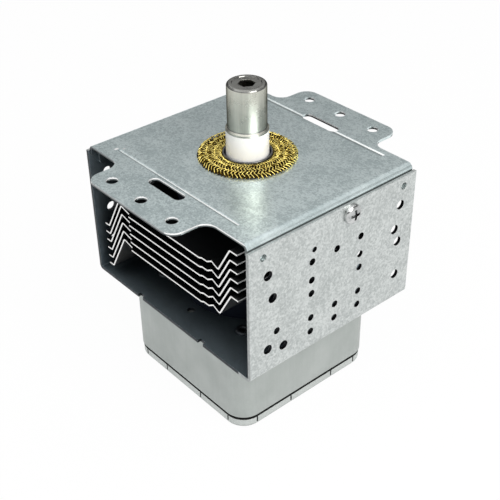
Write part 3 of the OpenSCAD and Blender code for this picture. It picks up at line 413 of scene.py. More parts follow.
@dataclass(frozen=True)
class Galvanised(Finish):
    """Zinc-coated sheet: fine spangle and cloudy patches, with painted highlights and painted shade on cut
    edges, painted shadow where sheets meet, painted shade in corners, in holes and on the faces that look into
    the yoke.
    """

    name: str
    light: Colour
    dark: Colour
    crystal: float
    speckle: float
    cloudy: float
    shine: float
    shine_range: float = 0.08
    crystal_share: float = 0.5
    grain: Grain = Grain(1500.0, 3.0, 2.0)
    clouds: Grain = Grain(110.0, 6.0)
    stains: Grain = Grain(420.0, 4.0, 0.22)
    stain_limits: Span = (0.68, 0.78)
    stain: Colour = (0.2, 0.21, 0.22)
    # Painted shade, with some soiling, in the corners.
    dirt_and_shade: DirtAndShade = DirtAndShade((0.05, 0.055, 0.06), 3.0 * MM, 0.1, 0.6, 0.4)
    # Burnished cut edges, lightened further as a painted highlight.
    bright_cut: Colour = (0.9, 0.91, 0.91)
    # Painted shade on cut edges that face away from the light.
    shaded_cut: Colour = (0.15, 0.165, 0.175)
    # Painted shadow where two sheets meet.
    seam_shadow: Colour = (0.03, 0.033, 0.036)
    # Painted shade on the faces that look into the yoke, darkest where the least sky is open.
    inner_shade: Colour = (0.34, 0.42, 0.47)
    deep_shade: Colour = (0.03, 0.042, 0.052)
    # Black painted shade on the walls of holes.
    bore_shade: Colour = (0.012, 0.013, 0.015)
    inner_face: float = 35.0 * MM
    inner_start: float = 21.0 * MM
    hollow_reach: float = 30.0 * MM
    hollow_limits: Span = (0.2, 0.75)
    bright_edge_radius: float = 0.16 * MM
    bright_edge_share: float = 0.3
    metallic: float = 0.85
    bright_loss: float = 0.5
    tooth: float = 0.003 * MM
    grain_tooth: float = 0.6
    edge: float = 0.14 * MM
    fade: float = 0.1 * MM

    def bright(self, graph: Graph) -> Any:
        """Marks edges and lines that are lightened: burnish, with a painted highlight."""
        return 0.0

    def dull(self, graph: Graph) -> Any:
        """Marks cut edges that are painted dark as shade."""
        raise NotImplementedError

    def shaded_seams(self, graph: Graph) -> Any:
        """Marks the lines where two sheets meet, which are painted dark as shadow."""
        raise NotImplementedError

    def calm(self, graph: Graph) -> Any:
        """How much of the speckle is left after bending."""
        return 1.0

    def corner_dirt_and_shade(self, graph: Graph) -> Any:
        """Painted shade, with some soiling, in the corners."""
        return self.dirt_and_shade.mask(graph)

    def shaded_bores(self, graph: Graph) -> Any:
        """Marks the walls of punched holes, which are painted black as shade."""
        return 0.0

    def inward(self, graph: Graph) -> Sock:
        """Marks the upright faces that look into the yoke, which are painted in shade."""
        return graph.ramp(graph.along(X) * graph.looking(X), -self.inner_start, -self.inner_face)

    def paint(self, graph: Graph) -> dict[str, Any]:
        """Mixes crystals, speckle and clouds into colour and roughness, then paints highlights on edges and
        shade in corners, joints, holes and on the faces that look into the yoke.

        Args:
            graph: the material's node tree.

        Returns:
            The shader's inputs by name, as values or links.
        """
        crystal = graph.cells(self.crystal)
        grain = self.grain.pattern(graph)
        cloud = self.clouds.pattern(graph)
        flecks = (crystal - MIDDLE) * self.crystal_share + (grain - MIDDLE) * self.grain.share
        tone = flecks * self.speckle * self.calm(graph) + (cloud - MIDDLE) * self.cloudy + MIDDLE
        sheet = graph.blend(graph.ramp(tone, 0.0, 1.0), self.dark, self.light)
        stains = graph.ramp(self.stains.pattern(graph), *self.stain_limits)
        stained = graph.blend(stains * self.stains.share, sheet, self.stain)
        # Painted shade, with some soiling, in the corners.
        shade = graph.blend(self.corner_dirt_and_shade(graph), stained, self.dirt_and_shade.colour)
        bright = graph.ramp(self.bright(graph), 0.0, 1.0)
        # Every sharp edge is lightened a little: wear with a painted highlight.
        worn = graph.either(bright, graph.sharp_edge(self.bright_edge_radius) * self.bright_edge_share)
        edged = graph.blend(worn, shade, self.bright_cut)
        # Painted shade on cut edges that face away from the light.
        shaded = graph.blend(self.dull(graph), edged, self.shaded_cut)
        # Painted shadow along the lines where sheets meet.
        joined = graph.blend(self.shaded_seams(graph), shaded, self.seam_shadow)
        # Painted shade on the faces that look into the yoke, darkest where the least sky is open.
        sky = graph.ramp(graph.occlusion(self.hollow_reach), *self.hollow_limits)
        lined = graph.blend(self.inward(graph), joined, graph.blend(sky, self.deep_shade, self.inner_shade))
        height = grain * self.grain_tooth + crystal * (1.0 - self.grain_tooth)
        dullest = self.shine + self.shine_range
        glossiest = self.shine - self.shine_range
        return {
            # Hole walls painted black as shade.
            "Base Color": graph.blend(self.shaded_bores(graph), lined, self.bore_shade),
            "Metallic": self.metallic - bright * self.bright_loss,
            "Roughness": graph.ramp(tone, 0.0, 1.0, dullest, glossiest),
            "Normal": graph.relief(height, self.tooth, self.edge),
        }


@dataclass(frozen=True)
class DentGlint:
    """A small oval painted highlight on the plate, the glint of a dent."""

    x: float
    y: float
    half_x: float
    half_y: float
    core: float = 0.2
    level: Span = (0.5, 0.9)

    def mask(self, graph: Graph) -> Sock:
        """Marks the oval on faces that look up.

        Args:
            graph: the material's node tree.

        Returns:
            The mask, from 0 to 1.
        """
        across = (graph.along(X) - self.x) / self.half_x
        along = (graph.along(Y) - self.y) / self.half_y
        spread = across ** 2.0 + along ** 2.0
        return graph.ramp(spread, 1.0, self.core) * graph.ramp(graph.looking(Z), *self.level)


@dataclass(frozen=True)
class PlateSheet(Galvanised):
    """Sheet of the top plate, with painted highlights and shadows along its pressed creases and painted glints
    of two dents.
    """

    shine_range: float = 0.02
    tooth: float = 0.002 * MM
    dirt_and_shade: DirtAndShade = DirtAndShade((0.05, 0.055, 0.06), 3.0 * MM, 0.1, 0.6, 0.18)
    creases: tuple[Span, ...] = ((-33.4 * MM, 0.38 * MM), (36.4 * MM, 0.62 * MM))
    crease_core: float = 0.5
    crease_reach: float = 34.5 * MM
    crease_end: float = 0.3 * MM
    crease_highlight: float = 0.5
    crease_highlight_rise: float = 0.35
    crease_shade: float = 0.4
    shadow_shift: float = -1.7
    unbent: Span = (0.5, 0.2)
    tip_faces: Span = (0.85, 0.97)
    flange_tip: float = 54.2 * MM
    tip_shade: float = 0.75
    plate_end: float = 39.5 * MM
    end_width: float = 0.2 * MM
    left_side: Span = (-10.0 * MM, -11.0 * MM)
    end_shade: float = 0.8
    top: float = 95.2 * MM
    burnish: float = 0.5 * MM
    tear: float = 0.15 * MM
    rear_rims: Span = (20.0 * MM, 30.0 * MM)
    rear_gloss: float = 0.15
    lip_start: float = 31.5 * MM
    lip_seam: Span = (92.3 * MM, 93.15 * MM)
    lip_shade: float = 0.7
    lip_cheeks: Span = (0.995, 0.98)
    torn_shade: float = 0.85
    bend: Span = (0.08, 0.4)
    bend_speckle: float = 0.35
    underside: Span = (-0.5, -0.8)
    # Painted glints of two dents by the front crease's left end.
    dent_glints: tuple[DentGlint, ...] = (DentGlint(-35.75 * MM, -33.9 * MM, 0.75 * MM, 1.25 * MM),
                                 DentGlint(-34.0 * MM, -31.6 * MM, 0.35 * MM, 0.8 * MM))

    def _crease(self, graph: Graph, shift: float) -> Sock:
        """Marks one line along each crease, beside its middle by the shift in half widths.

        Args:
            graph: the material's node tree.
            shift: the line's place, in half widths of its crease.

        Returns:
            The mask, from 0 to 1.
        """
        lines: Any = 0.0
        for line, half in self.creases:
            near = graph.ramp(abs(graph.along(Y) - (line + shift * half)), half, half * self.crease_core)
            lines = near + lines
        return lines * graph.ramp(graph.facing(X), *self.unbent) \
            * graph.ramp(abs(graph.along(X)), self.crease_reach, self.crease_reach - self.crease_end)

    def _shaded_ends(self, graph: Graph) -> Sock:
        """Marks the straight ends of the plate's left side, which are painted dark as shade, away from the
        light.

        Args:
            graph: the material's node tree.

        Returns:
            The mask, from 0 to 1.
        """
        end = self.plate_end + self.end_width
        ends = graph.within(abs(graph.along(Y)), self.plate_end, end, self.fade)
        return graph.square(Y) * graph.ramp(graph.along(X), *self.left_side) * ends

    def _outer_lips(self, graph: Graph) -> Sock:
        """Marks the outer faces of the two lips."""
        return graph.ramp(graph.along(X) * graph.looking(X), self.lip_start, self.inner_face)

    def bright(self, graph: Graph) -> Any:
        """Marks the burnished upper part of the punched rims, lightened further as a painted highlight, the
        painted highlights along the creases, stronger towards the right, and the painted glints of the dents.

        Args:
            graph: the material's node tree.

        Returns:
            The mask, from 0 to 1.
        """
        # Burnished upper part of the rims, lightened further as a painted highlight.
        foot = self.top - self.burnish
        burnished = graph.upright() * graph.ramp(graph.along(Z), foot - self.tear, foot)
        rear = graph.ramp(graph.along(Y) * graph.facing(X), *self.rear_rims, 1.0, self.rear_gloss)
        rim = burnished * (1.0 - self._shaded_ends(graph)) * rear
        # Painted highlight along the creases, stronger towards the right.
        rise = graph.ramp(graph.along(X), -self.crease_reach, self.crease_reach, 0.0, self.crease_highlight_rise)
        mark = graph.either(rim, self._crease(graph, 0.0) * (rise + self.crease_highlight))
        for dent_glint in self.dent_glints:
            mark = graph.either(mark, dent_glint.mask(graph))
        return mark

    def dull(self, graph: Graph) -> Any:
        """Marks the outer edges of the fixing flanges and the left side's ends, which are painted dark as
        shade.

        Args:
            graph: the material's node tree.

        Returns:
            The mask, from 0 to 1.
        """
        end = self.flange_tip + self.end_width
        outer = graph.ramp(abs(graph.along(Y)), self.flange_tip, end, 0.0, self.tip_shade)
        tips = graph.ramp(graph.facing(Y), *self.tip_faces) * outer
        return graph.either(tips, self._shaded_ends(graph) * self.end_shade)

    def shaded_seams(self, graph: Graph) -> Any:
        """Marks the painted shadow on the lips' strip above the walls, the creases' shadow side and the lower,
        torn part of cut edges, which is duller and painted dark as shade.

        Args:
            graph: the material's node tree.

        Returns:
            The mask, from 0 to 1.
        """
        foot = self.top - self.burnish
        # Painted shadow on the lips' strip above the walls and on the torn part of cut edges.
        strip = self._outer_lips(graph) * graph.within(graph.along(Z), *self.lip_seam, self.fade)
        torn = graph.upright() * graph.ramp(graph.facing(X), *self.lip_cheeks) \
            * graph.ramp(graph.along(Z), foot, foot - self.tear)
        shadow = self._crease(graph, self.shadow_shift) * self.crease_shade
        return graph.either(graph.either(strip * self.lip_shade, shadow), torn * self.torn_shade)

    def calm(self, graph: Graph) -> Any:
        """Bends and lips are pressed smooth."""
        return graph.ramp(graph.facing(X), *self.bend, 1.0, self.bend_speckle)

    def corner_dirt_and_shade(self, graph: Graph) -> Any:
        """A little painted shade and soiling in the corners, but none on the lips' outer faces."""
        return self.dirt_and_shade.mask(graph) * (1.0 - self._outer_lips(graph))

    def inward(self, graph: Graph) -> Sock:
        """Marks the lips' inner faces and the underside, which are painted in shade."""
        return graph.either(Galvanised.inward(self, graph), graph.ramp(graph.looking(Z), *self.underside))


@dataclass(frozen=True)
class FrameSheet(Galvanised):
    """Sheet of the U-shaped frame, with vent walls painted black as shade and open ends painted dark as shade.
    """

    # Near-black painted shade on the frame's cut edges.
    shaded_cut: Colour = (0.03, 0.036, 0.042)
    floor_top: float = 45.0 * MM
    notch_top: Span = (42.0 * MM, 41.0 * MM)
    notch_faces: Span = (0.5, 0.3)
    vents: Span = (41.0 * MM, 84.0 * MM)
    vent_faces: Span = (0.35, 0.2)
    wall_top: float = 90.0 * MM
    wall_in: Span = (45.6 * MM, 45.8 * MM)
    seam_out: float = 45.85 * MM
    seam_shade: float = 0.6
    level: Span = (0.9, 0.98)
    floor_faces: Span = (0.5, 0.8)
    open_end: float = 40.1 * MM
    lit_end: float = 40.0 * MM
    lit_end_shade: float = 0.35
    soft: float = 1.0 * MM

    def dull(self, graph: Graph) -> Any:
        """Marks the floor's notches and the open ends, which are painted dark as shade, less on the lit right
        wall.

        Args:
            graph: the material's node tree.

        Returns:
            The mask, from 0 to 1.
        """
        ends = graph.square(Y) * graph.ramp(abs(graph.along(Y)), self.open_end - self.fade, self.open_end)
        middle = graph.ramp(abs(graph.along(X)), self.lit_end, self.lit_end - self.soft)
        shaded = graph.ramp(graph.facing(Z), *self.notch_faces) * middle
        notches = shaded * graph.ramp(graph.along(Z), *self.notch_top)
        # Ends painted dark as shade, less on the lit right wall.
        lit_side = graph.ramp(graph.along(X), self.lit_end, self.lit_end + self.soft, 1.0, self.lit_end_shade)
        return graph.either(notches, ends * lit_side)

    def shaded_seams(self, graph: Graph) -> Any:
        """Marks the inner part of the walls' top edges, beside the lips, which is painted dark as shadow.

        Args:
            graph: the material's node tree.

        Returns:
            The mask, from 0 to 1.
        """
        high = graph.ramp(graph.along(Z), self.floor_top, self.wall_top)
        tops = graph.ramp(graph.looking(Z), *self.level) * high
        inner = graph.ramp(abs(graph.along(X)), self.seam_out + self.fade, self.seam_out - self.fade)
        return tops * inner * self.seam_shade

    def shaded_bores(self, graph: Graph) -> Any:
        """Marks the walls of the vents, which lie between the wall's two faces and are painted black as shade.

        Args:
            graph: the material's node tree.

        Returns:
            The mask, from 0 to 1.
        """
        sheet = graph.ramp(abs(graph.along(X)), *self.wall_in)
        across = graph.ramp(graph.facing(X), *self.vent_faces) * sheet
        inner_shade = graph.ramp(abs(graph.along(Y)), self.open_end, self.open_end - self.fade)
        return across * inner_shade * graph.within(graph.along(Z), *self.vents, self.soft)

    def inward(self, graph: Graph) -> Sock:
        """Marks the walls' inner faces and the floor, which are painted in shade.

        Args:
            graph: the material's node tree.

        Returns:
            The mask, from 0 to 1.
        """
        low = graph.ramp(graph.along(Z), self.wall_top, self.floor_top)
        floor = graph.ramp(graph.looking(Z), *self.floor_faces) * low
        return graph.either(Galvanised.inward(self, graph), floor)


@dataclass(frozen=True)
class DrawnSteel(Finish):
    """Smooth drawn sheet of the filter box: satin, with faint draw lines up its walls and a painted shadow line
    where the lid meets it.
    """

    name: str
    joggle: float
    rim: float
    light: Colour = (0.46, 0.49, 0.475)
    dark: Colour = (0.34, 0.37, 0.355)
    # Near-black painted shadow for the line where box and lid meet.
    gap_shadow: Colour = (0.012, 0.012, 0.013)
    lines: Grain = Grain(900.0, 2.0, 0.22, (1.0, 1.0, 0.06))
    clouds: Grain = Grain(60.0, 4.0)
    grain: Grain = Grain(3200.0, 2.0, 0.6)
    dirt_and_shade: DirtAndShade = DirtAndShade((0.05, 0.05, 0.055), 3.0 * MM, 0.15, 0.8, 0.6)
    joggle_fade: float = 0.15 * MM
    rim_faces: Span = (0.6, 0.9)
    rim_fade: float = 0.1 * MM
    rim_shade: float = 0.8
    metallic: float = 0.65
    gloss: Span = (0.52, 0.38)
    tooth: float = 0.008 * MM
    edge: float = 0.12 * MM

    def paint(self, graph: Graph) -> dict[str, Any]:
        """Mixes draw lines, clouds and handling marks, paints shade in corners and paints a shadow line where
        box and lid meet.

        Args:
            graph: the material's node tree.

        Returns:
            The shader's inputs by name, as values or links.
        """
        lines = self.lines.pattern(graph)
        cloud = self.clouds.pattern(graph)
        grain = self.grain.pattern(graph)
        tone = graph.tone((lines, self.lines), (cloud, self.clouds), (grain, self.grain))
        sheet = graph.blend(graph.ramp(tone, 0.0, 1.0), self.dark, self.light)
        # Painted shadow below the lid's fingers and on their top faces, a dark line where box and lid meet.
        under = graph.ramp(graph.along(Z), self.joggle, self.joggle - self.joggle_fade)
        finger_top_shade = graph.ramp(graph.looking(Z), *self.rim_faces) \
            * graph.within(graph.along(Z), self.rim, self.rim, self.rim_fade)
        seam_shadow = graph.either(under, finger_top_shade * self.rim_shade)
        return {
            "Base Color": graph.blend(seam_shadow, self.dirt_and_shade.over(graph, sheet), self.gap_shadow),
            "Metallic": self.metallic,
            "Roughness": graph.ramp(tone, 0.0, 1.0, *self.gloss),
            "Normal": graph.relief((lines + grain) * MIDDLE, self.tooth, self.edge),
        }


@dataclass(frozen=True)
class RolledAluminium(Finish):
    """Thin rolled sheet of the fins: faint rolling lines, bright cut edges lightened further as a painted
    highlight, and painted shade between the fins.
    """

    name: str = "rolled_fin_aluminium"
    face: Colour = (0.4, 0.405, 0.4)
    worn: Colour = (0.25, 0.255, 0.255)
    # Bare cut edges, lightened further as a painted highlight.
    edge: Colour = (0.93, 0.93, 0.92)
    # Painted shade between the fins.
    between_fins_shade: Colour = (0.008, 0.009, 0.011)
    lines: Grain = Grain(1400.0, 3.0, 0.8, (1.0, 0.04, 1.0))
    clouds: Grain = Grain(110.0, 3.0, 0.8)
    tip: Span = (38.4 * MM, 38.6 * MM)
    end_faces: Span = (0.35, 0.5)
    sky_reach: float = 10.0 * MM
    sky_limits: Span = (0.3, 0.75)
    downward: Span = (0.1, -0.1)
    right_wings: Span = (32.0 * MM, 38.0 * MM)
    wing_light: Span = (0.1, 0.8)
    metallic: float = 0.9
    cut_loss: float = 0.5
    gloss: Span = (0.44, 0.3)
    tooth: float = 0.006 * MM
    edge_radius: float = 0.08 * MM

    def paint(self, graph: Graph) -> dict[str, Any]:
        """Mixes rolling lines with the painted highlight on the edges and the painted shade between the fins,
        lighter on faces that look down and on the lit right wings.

        Args:
            graph: the material's node tree.

        Returns:
            The shader's inputs by name, as values or links.
        """
        lines = self.lines.pattern(graph)
        tone = graph.tone((lines, self.lines), (self.clouds.pattern(graph), self.clouds))
        sheet = graph.blend(graph.ramp(tone, 0.0, 1.0), self.worn, self.face)
        tips = graph.square(X) * graph.ramp(abs(graph.along(X)), *self.tip)
        cut = graph.either(graph.ramp(graph.facing(Y), *self.end_faces), tips)
        # Painted shade between the fins, lifted on faces that look down and on the lit right wings.
        above = graph.ramp(graph.along(X), *self.right_wings, *self.wing_light)
        open_side = graph.either(graph.ramp(graph.looking(Z), *self.downward), above)
        lit = graph.ramp(graph.occlusion(self.sky_reach), *self.sky_limits) * open_side
        return {
            "Base Color": graph.blend(cut, graph.blend(lit, self.between_fins_shade, sheet), self.edge),
            "Metallic": self.metallic - cut * self.cut_loss,
            "Roughness": graph.ramp(tone, 0.0, 1.0, *self.gloss),
            "Normal": graph.relief(lines, self.tooth, self.edge_radius),
        }


@dataclass(frozen=True)
class PolishedNickel(Finish):
    """Plated cap: warm, polished, with fine draw marks and light wear, painted dark bands on the rounded
    shoulder and at the skirt's bend, and glancing reflections tinted dark as painted shade.
    """

    name: str = "polished_cap_nickel"
    bright: Colour = (0.66, 0.66, 0.585)
    dull: Colour = (0.5, 0.5, 0.44)
    top: Colour = (0.6, 0.6, 0.57)
    # Painted shade on the rounded shoulder and in a line at the skirt's bend.
    edge: Colour = (0.3, 0.3, 0.285)
    # Dark tint of glancing reflections, painted shade on the cap's edges.
    rim: Colour = (0.02, 0.02, 0.02)
    lines: Grain = Grain(1500.0, 3.0, 0.7, (1.0, 1.0, 0.03))
    wear: Grain = Grain(220.0, 4.0, 0.7)
    dirt_and_shade: DirtAndShade = DirtAndShade((0.06, 0.055, 0.05), 2.0 * MM, 0.1, 0.8, 0.6)
    top_faces: Span = (0.85, 0.97)
    round_faces: Span = (0.3, 0.93)
    round_soft: float = 0.06
    shoulder: Span = (121.8 * MM, 122.8 * MM)
    fold_shadow: Span = (107.05 * MM, 107.35 * MM)
    fold_fade: float = 0.06 * MM
    wear_limits: Span = (0.25, 0.8)
    gloss: Span = (0.25, 0.34)
    round_gloss: float = 0.12
    tooth: float = 0.003 * MM
    edge_radius: float = 0.15 * MM

    def paint(self, graph: Graph) -> dict[str, Any]:
        """Mixes vertical draw marks and cloudy wear, and paints dark bands as shade on the shoulder and at the
        skirt's bend.

        Args:
            graph: the material's node tree.

        Returns:
            The shader's inputs by name, as values or links.
        """
        lines = self.lines.pattern(graph)
        wear = self.wear.pattern(graph)
        tone = graph.tone((lines, self.lines), (wear, self.wear))
        shade = self.dirt_and_shade.over(graph, graph.blend(graph.ramp(tone, 0.0, 1.0), self.dull, self.bright))
        upward = graph.looking(Z)
        top_shaded = graph.blend(graph.ramp(upward, *self.top_faces), shade, self.top)
        high = graph.ramp(graph.along(Z), *self.shoulder)
        rounded = graph.within(upward, *self.round_faces, self.round_soft) * high
        fold_shadow = graph.within(graph.along(Z), *self.fold_shadow, self.fold_fade)
        return {
            "Base Color": graph.blend(graph.either(rounded, fold_shadow), top_shaded, self.edge),
            "Metallic": 1.0,
            "Specular Tint": self.rim,
            "Roughness": graph.ramp(wear, *self.wear_limits, *self.gloss) - rounded * self.round_gloss,
            "Normal": graph.relief(lines, self.tooth, self.edge_radius),
        }


@dataclass(frozen=True)
class FiredCeramic(Finish):
    """White alumina: dense, faintly speckled, a little glossy."""

    name: str = "fired_alumina"
    body: Colour = (0.97, 0.97, 0.955)
    fleck: Colour = (0.84, 0.84, 0.82)
    flecks: Grain = Grain(1800.0, 3.0, 0.5)
    fleck_limits: Span = (0.6, 0.8)
    clouds: Grain = Grain(120.0, 2.0)
    cloud_limits: Span = (0.2, 0.8)
    # Painted shade, with some soiling, where the ceramic meets other parts.
    dirt_and_shade: DirtAndShade = DirtAndShade((0.3, 0.29, 0.27), 1.5 * MM, 0.2, 0.8, 0.35)
    gloss: Span = (0.22, 0.34)
    glaze: float = 0.25
    tooth: float = 0.006 * MM
    edge: float = 0.1 * MM

    def paint(self, graph: Graph) -> dict[str, Any]:
        """Mixes flecks and soft painted shade, with some soiling, in the corners into the white body.

        Args:
            graph: the material's node tree.

        Returns:
            The shader's inputs by name, as values or links.
        """
        flecks = graph.ramp(self.flecks.pattern(graph), *self.fleck_limits)
        body = graph.blend(flecks * self.flecks.share, self.body, self.fleck)
        return {
            "Base Color": self.dirt_and_shade.over(graph, body),
            "Roughness": graph.ramp(self.clouds.pattern(graph), *self.cloud_limits, *self.gloss),
            "Coat Weight": self.glaze,
            "Normal": graph.relief(flecks, self.tooth, self.edge),
        }


@dataclass(frozen=True)
class BareMetal(Finish):
    """Bare metal with tarnish: rods, rivets, screws and tube parts."""

    name: str
    clean: Colour
    tarnish: Colour
    shine: float = 0.3
    # Painted shade, with some soiling, in corners and recesses.
    shade_and_dirt_amount: float = 0.5
    corner_shade: Colour = (0.03, 0.03, 0.032)
    corner: float = 1.2 * MM
    corner_limits: Span = (0.1, 0.8)
    patches: Grain = Grain(260.0, 4.0, 1.6)
    grain: Grain = Grain(3000.0, 2.0, 0.5)
    tone_limits: Span = (0.1, 0.9)
    dulling: float = 0.16
    tooth: float = 0.004 * MM
    edge: float = 0.1 * MM

    def paint(self, graph: Graph) -> dict[str, Any]:
        """Mixes clean metal with patchy tarnish, and painted shade with some soiling in corners and recesses.

        Args:
            graph: the material's node tree.

        Returns:
            The shader's inputs by name, as values or links.
        """
        grain = self.grain.pattern(graph)
        tone = graph.tone((self.patches.pattern(graph), self.patches), (grain, self.grain))
        metal = graph.blend(graph.ramp(tone, *self.tone_limits), self.tarnish, self.clean)
        dirt_and_shade = DirtAndShade(self.corner_shade, self.corner, *self.corner_limits, self.shade_and_dirt_amount)
        return {
            "Base Color": dirt_and_shade.over(graph, metal),
            "Metallic": 1.0,
            "Roughness": graph.ramp(tone, *self.tone_limits, self.shine + self.dulling, self.shine),
            "Normal": graph.relief(grain, self.tooth, self.edge),
        }


@dataclass(frozen=True)
class KnittedBrass(Finish):
    """Brass wire of the knit: painted highlight on the tops of its stitches and painted shade, brown to black,
    where it runs under.
    """

    name: str = "knitted_brass"
    # Painted highlight at the stitches' tops, painted shade on their sides and at their low points.
    crest_highlight: Colour = (1.0, 0.82, 0.24)
    side: Colour = (0.36, 0.235, 0.02)
    dip_shade: Colour = (0.028, 0.016, 0.002)
    stops: tuple[float, float, float] = (0.44, 0.55, 0.7)
    attribute: str = "crest_highlight"
    lift_share: float = 0.85
    blotch: float = 950.0
    blotch_share: float = 0.8
    base_tone: float = 0.05
    metallic: float = 0.85
    tone_limits: Span = (0.2, 0.9)
    gloss: Span = (0.5, 0.26)
    grain: Grain = Grain(4000.0, 2.0)
    tooth: float = 0.004 * MM

    def paint(self, graph: Graph) -> dict[str, Any]:
        """Paints the stitches by height, highlight at the top and shade low down, with uneven tarnish.

        Args:
            graph: the material's node tree.

        Returns:
            The shader's inputs by name, as values or links.
        """
        lift = graph.node("ShaderNodeAttribute", {"attribute_name": self.attribute}, output="Fac")
        tarnish = graph.cells(self.blotch)
        tone = lift * self.lift_share + (tarnish - MIDDLE) * self.blotch_share + self.base_tone
        stops = tuple(zip(self.stops, (self.dip_shade, self.side, self.crest_highlight)))
        return {
            "Base Color": graph.node("ShaderNodeValToRGB", {"stops": stops}, {0: tone}),
            "Metallic": self.metallic,
            "Roughness": graph.ramp(tone, *self.tone_limits, *self.gloss),
            "Normal": graph.relief(self.grain.pattern(graph), self.tooth),
        }


@dataclass(frozen=True)
class SinteredFerrite(Finish):
    """Dark ferrite: matte, granular, with paler chips on worn spots."""

    name: str = "sintered_ferrite"
    body: Colour = (0.003, 0.005, 0.011)
    grit: Colour = (0.008, 0.011, 0.02)
    chip: Colour = (0.014, 0.015, 0.019)
    grain: Grain = Grain(1500.0, 4.0, 0.35)
    chips: Grain = Grain(300.0, 5.0, 0.6)
    chip_limits: Span = (0.66, 0.74)
    grain_limits: Span = (0.2, 0.8)
    glint: float = 0.15
    gloss: Span = (0.5, 0.68)
    tooth: float = 0.02 * MM
    edge: float = 0.25 * MM

    def paint(self, graph: Graph) -> dict[str, Any]:
        """Mixes grain and a few chips.

        Args:
            graph: the material's node tree.

        Returns:
            The shader's inputs by name, as values or links.
        """
        grain = self.grain.pattern(graph)
        chips = graph.ramp(self.chips.pattern(graph), *self.chip_limits)
        body = graph.blend(grain * self.grain.share, self.body, self.grit)
        return {
            "Base Color": graph.blend(chips * self.chips.share, body, self.chip),
            "Specular IOR Level": self.glint,
            "Roughness": graph.ramp(grain, *self.grain_limits, *self.gloss),
            "Normal": graph.relief(grain, self.tooth, self.edge),
        }


@dataclass(frozen=True)
class MouldedResin(Finish):
    """Brown moulded resin of the capacitor: fine grain and a slight sheen."""

    name: str = "moulded_resin"
    body: Colour = (0.19, 0.105, 0.062)
    pale: Colour = (0.27, 0.16, 0.1)
    flow: Grain = Grain(160.0, 4.0, 1.0, (0.4, 1.0, 1.0))
    flow_limits: Span = (0.3, 0.75)
    grain: Grain = Grain(2400.0, 3.0)
    grain_limits: Span = (0.2, 0.8)
    gloss: Span = (0.34, 0.5)
    tooth: float = 0.012 * MM
    edge: float = 0.3 * MM

    def paint(self, graph: Graph) -> dict[str, Any]:
        """Mixes flow marks and grain.

        Args:
            graph: the material's node tree.

        Returns:
            The shader's inputs by name, as values or links.
        """
        flow = graph.ramp(self.flow.pattern(graph), *self.flow_limits)
        grain = self.grain.pattern(graph)
        return {
            "Base Color": graph.blend(flow, self.body, self.pale),
            "Roughness": graph.ramp(grain, *self.grain_limits, *self.gloss),
            "Normal": graph.relief(grain, self.tooth, self.edge),
        }


class Finishes(Enum):
    """The finishes of the object's pieces."""

    PLATE = PlateSheet("galvanised_plate", (0.78, 0.885, 0.89), (0.5, 0.59, 0.6), 1000.0, 1.1, 1.5, 0.3)
    FRAME = FrameSheet("galvanised_frame", (0.66, 0.69, 0.68), (0.42, 0.45, 0.445), 1000.0, 0.75, 0.6, 0.42)
    BOX = DrawnSteel("drawn_box_steel", 5.2 * MM, NOWHERE)
    LID = DrawnSteel("pressed_lid_steel", NOWHERE, 3.9 * MM, (0.6, 0.63, 0.615), (0.46, 0.49, 0.475))
    FIN = RolledAluminium()
    CAP = PolishedNickel()
    CERAMIC = FiredCeramic()
    BRASS = KnittedBrass()
    # A dark ring under the wires that stands in for the shade within the knit.
    SHADOW_CORE = BareMetal("shadowed_brass", (0.13, 0.083, 0.013), (0.05, 0.03, 0.006), 0.6)
    SLEEVE = BareMetal("dark_sleeve_iron", (0.26, 0.27, 0.285), (0.13, 0.136, 0.145), 0.38)
    OXIDISED = BareMetal("oxidised_copper", (0.02, 0.012, 0.01), (0.008, 0.005, 0.004), 0.5)
    COPPER = BareMetal("tube_copper", (0.8, 0.46, 0.3), (0.45, 0.22, 0.13), 0.28)
    TUNGSTEN = BareMetal("cathode_tungsten", (0.36, 0.36, 0.37), (0.2, 0.2, 0.21), 0.4)
    TIN = BareMetal("bright_tin", (0.72, 0.73, 0.72), (0.5, 0.51, 0.51), 0.24)
    # The screw's recess takes nearly full painted shade.
    SCREW = BareMetal("screw_zinc", (0.68, 0.69, 0.685), (0.4, 0.41, 0.41), 0.12, 0.95)
    RIVET = BareMetal("dark_rivet_zinc", (0.09, 0.1, 0.11), (0.04, 0.045, 0.05), 0.4)
    FERRITE = SinteredFerrite()
    RESIN = MouldedResin()

    @property
    def material(self) -> bpy.types.Material:
        """The finish's material."""
        return self.value.material()


@dataclass
class Dress:
    """Puts one finish on a group of carried-over solids."""

    finish: Finishes
    nodes: tuple[str, ...]

    def build(self, solids: Mapping[str, bpy.types.Object]) -> None:
        """Assigns the material to every slot of every solid.

        Args:
            solids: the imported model's objects by name.
        """
        for name in self.nodes:
            solid = solids[name]
            for slot in solid.material_slots:
                slot.material = self.finish.material
            LOG.info("%s: %s", name, self.finish.value.name)


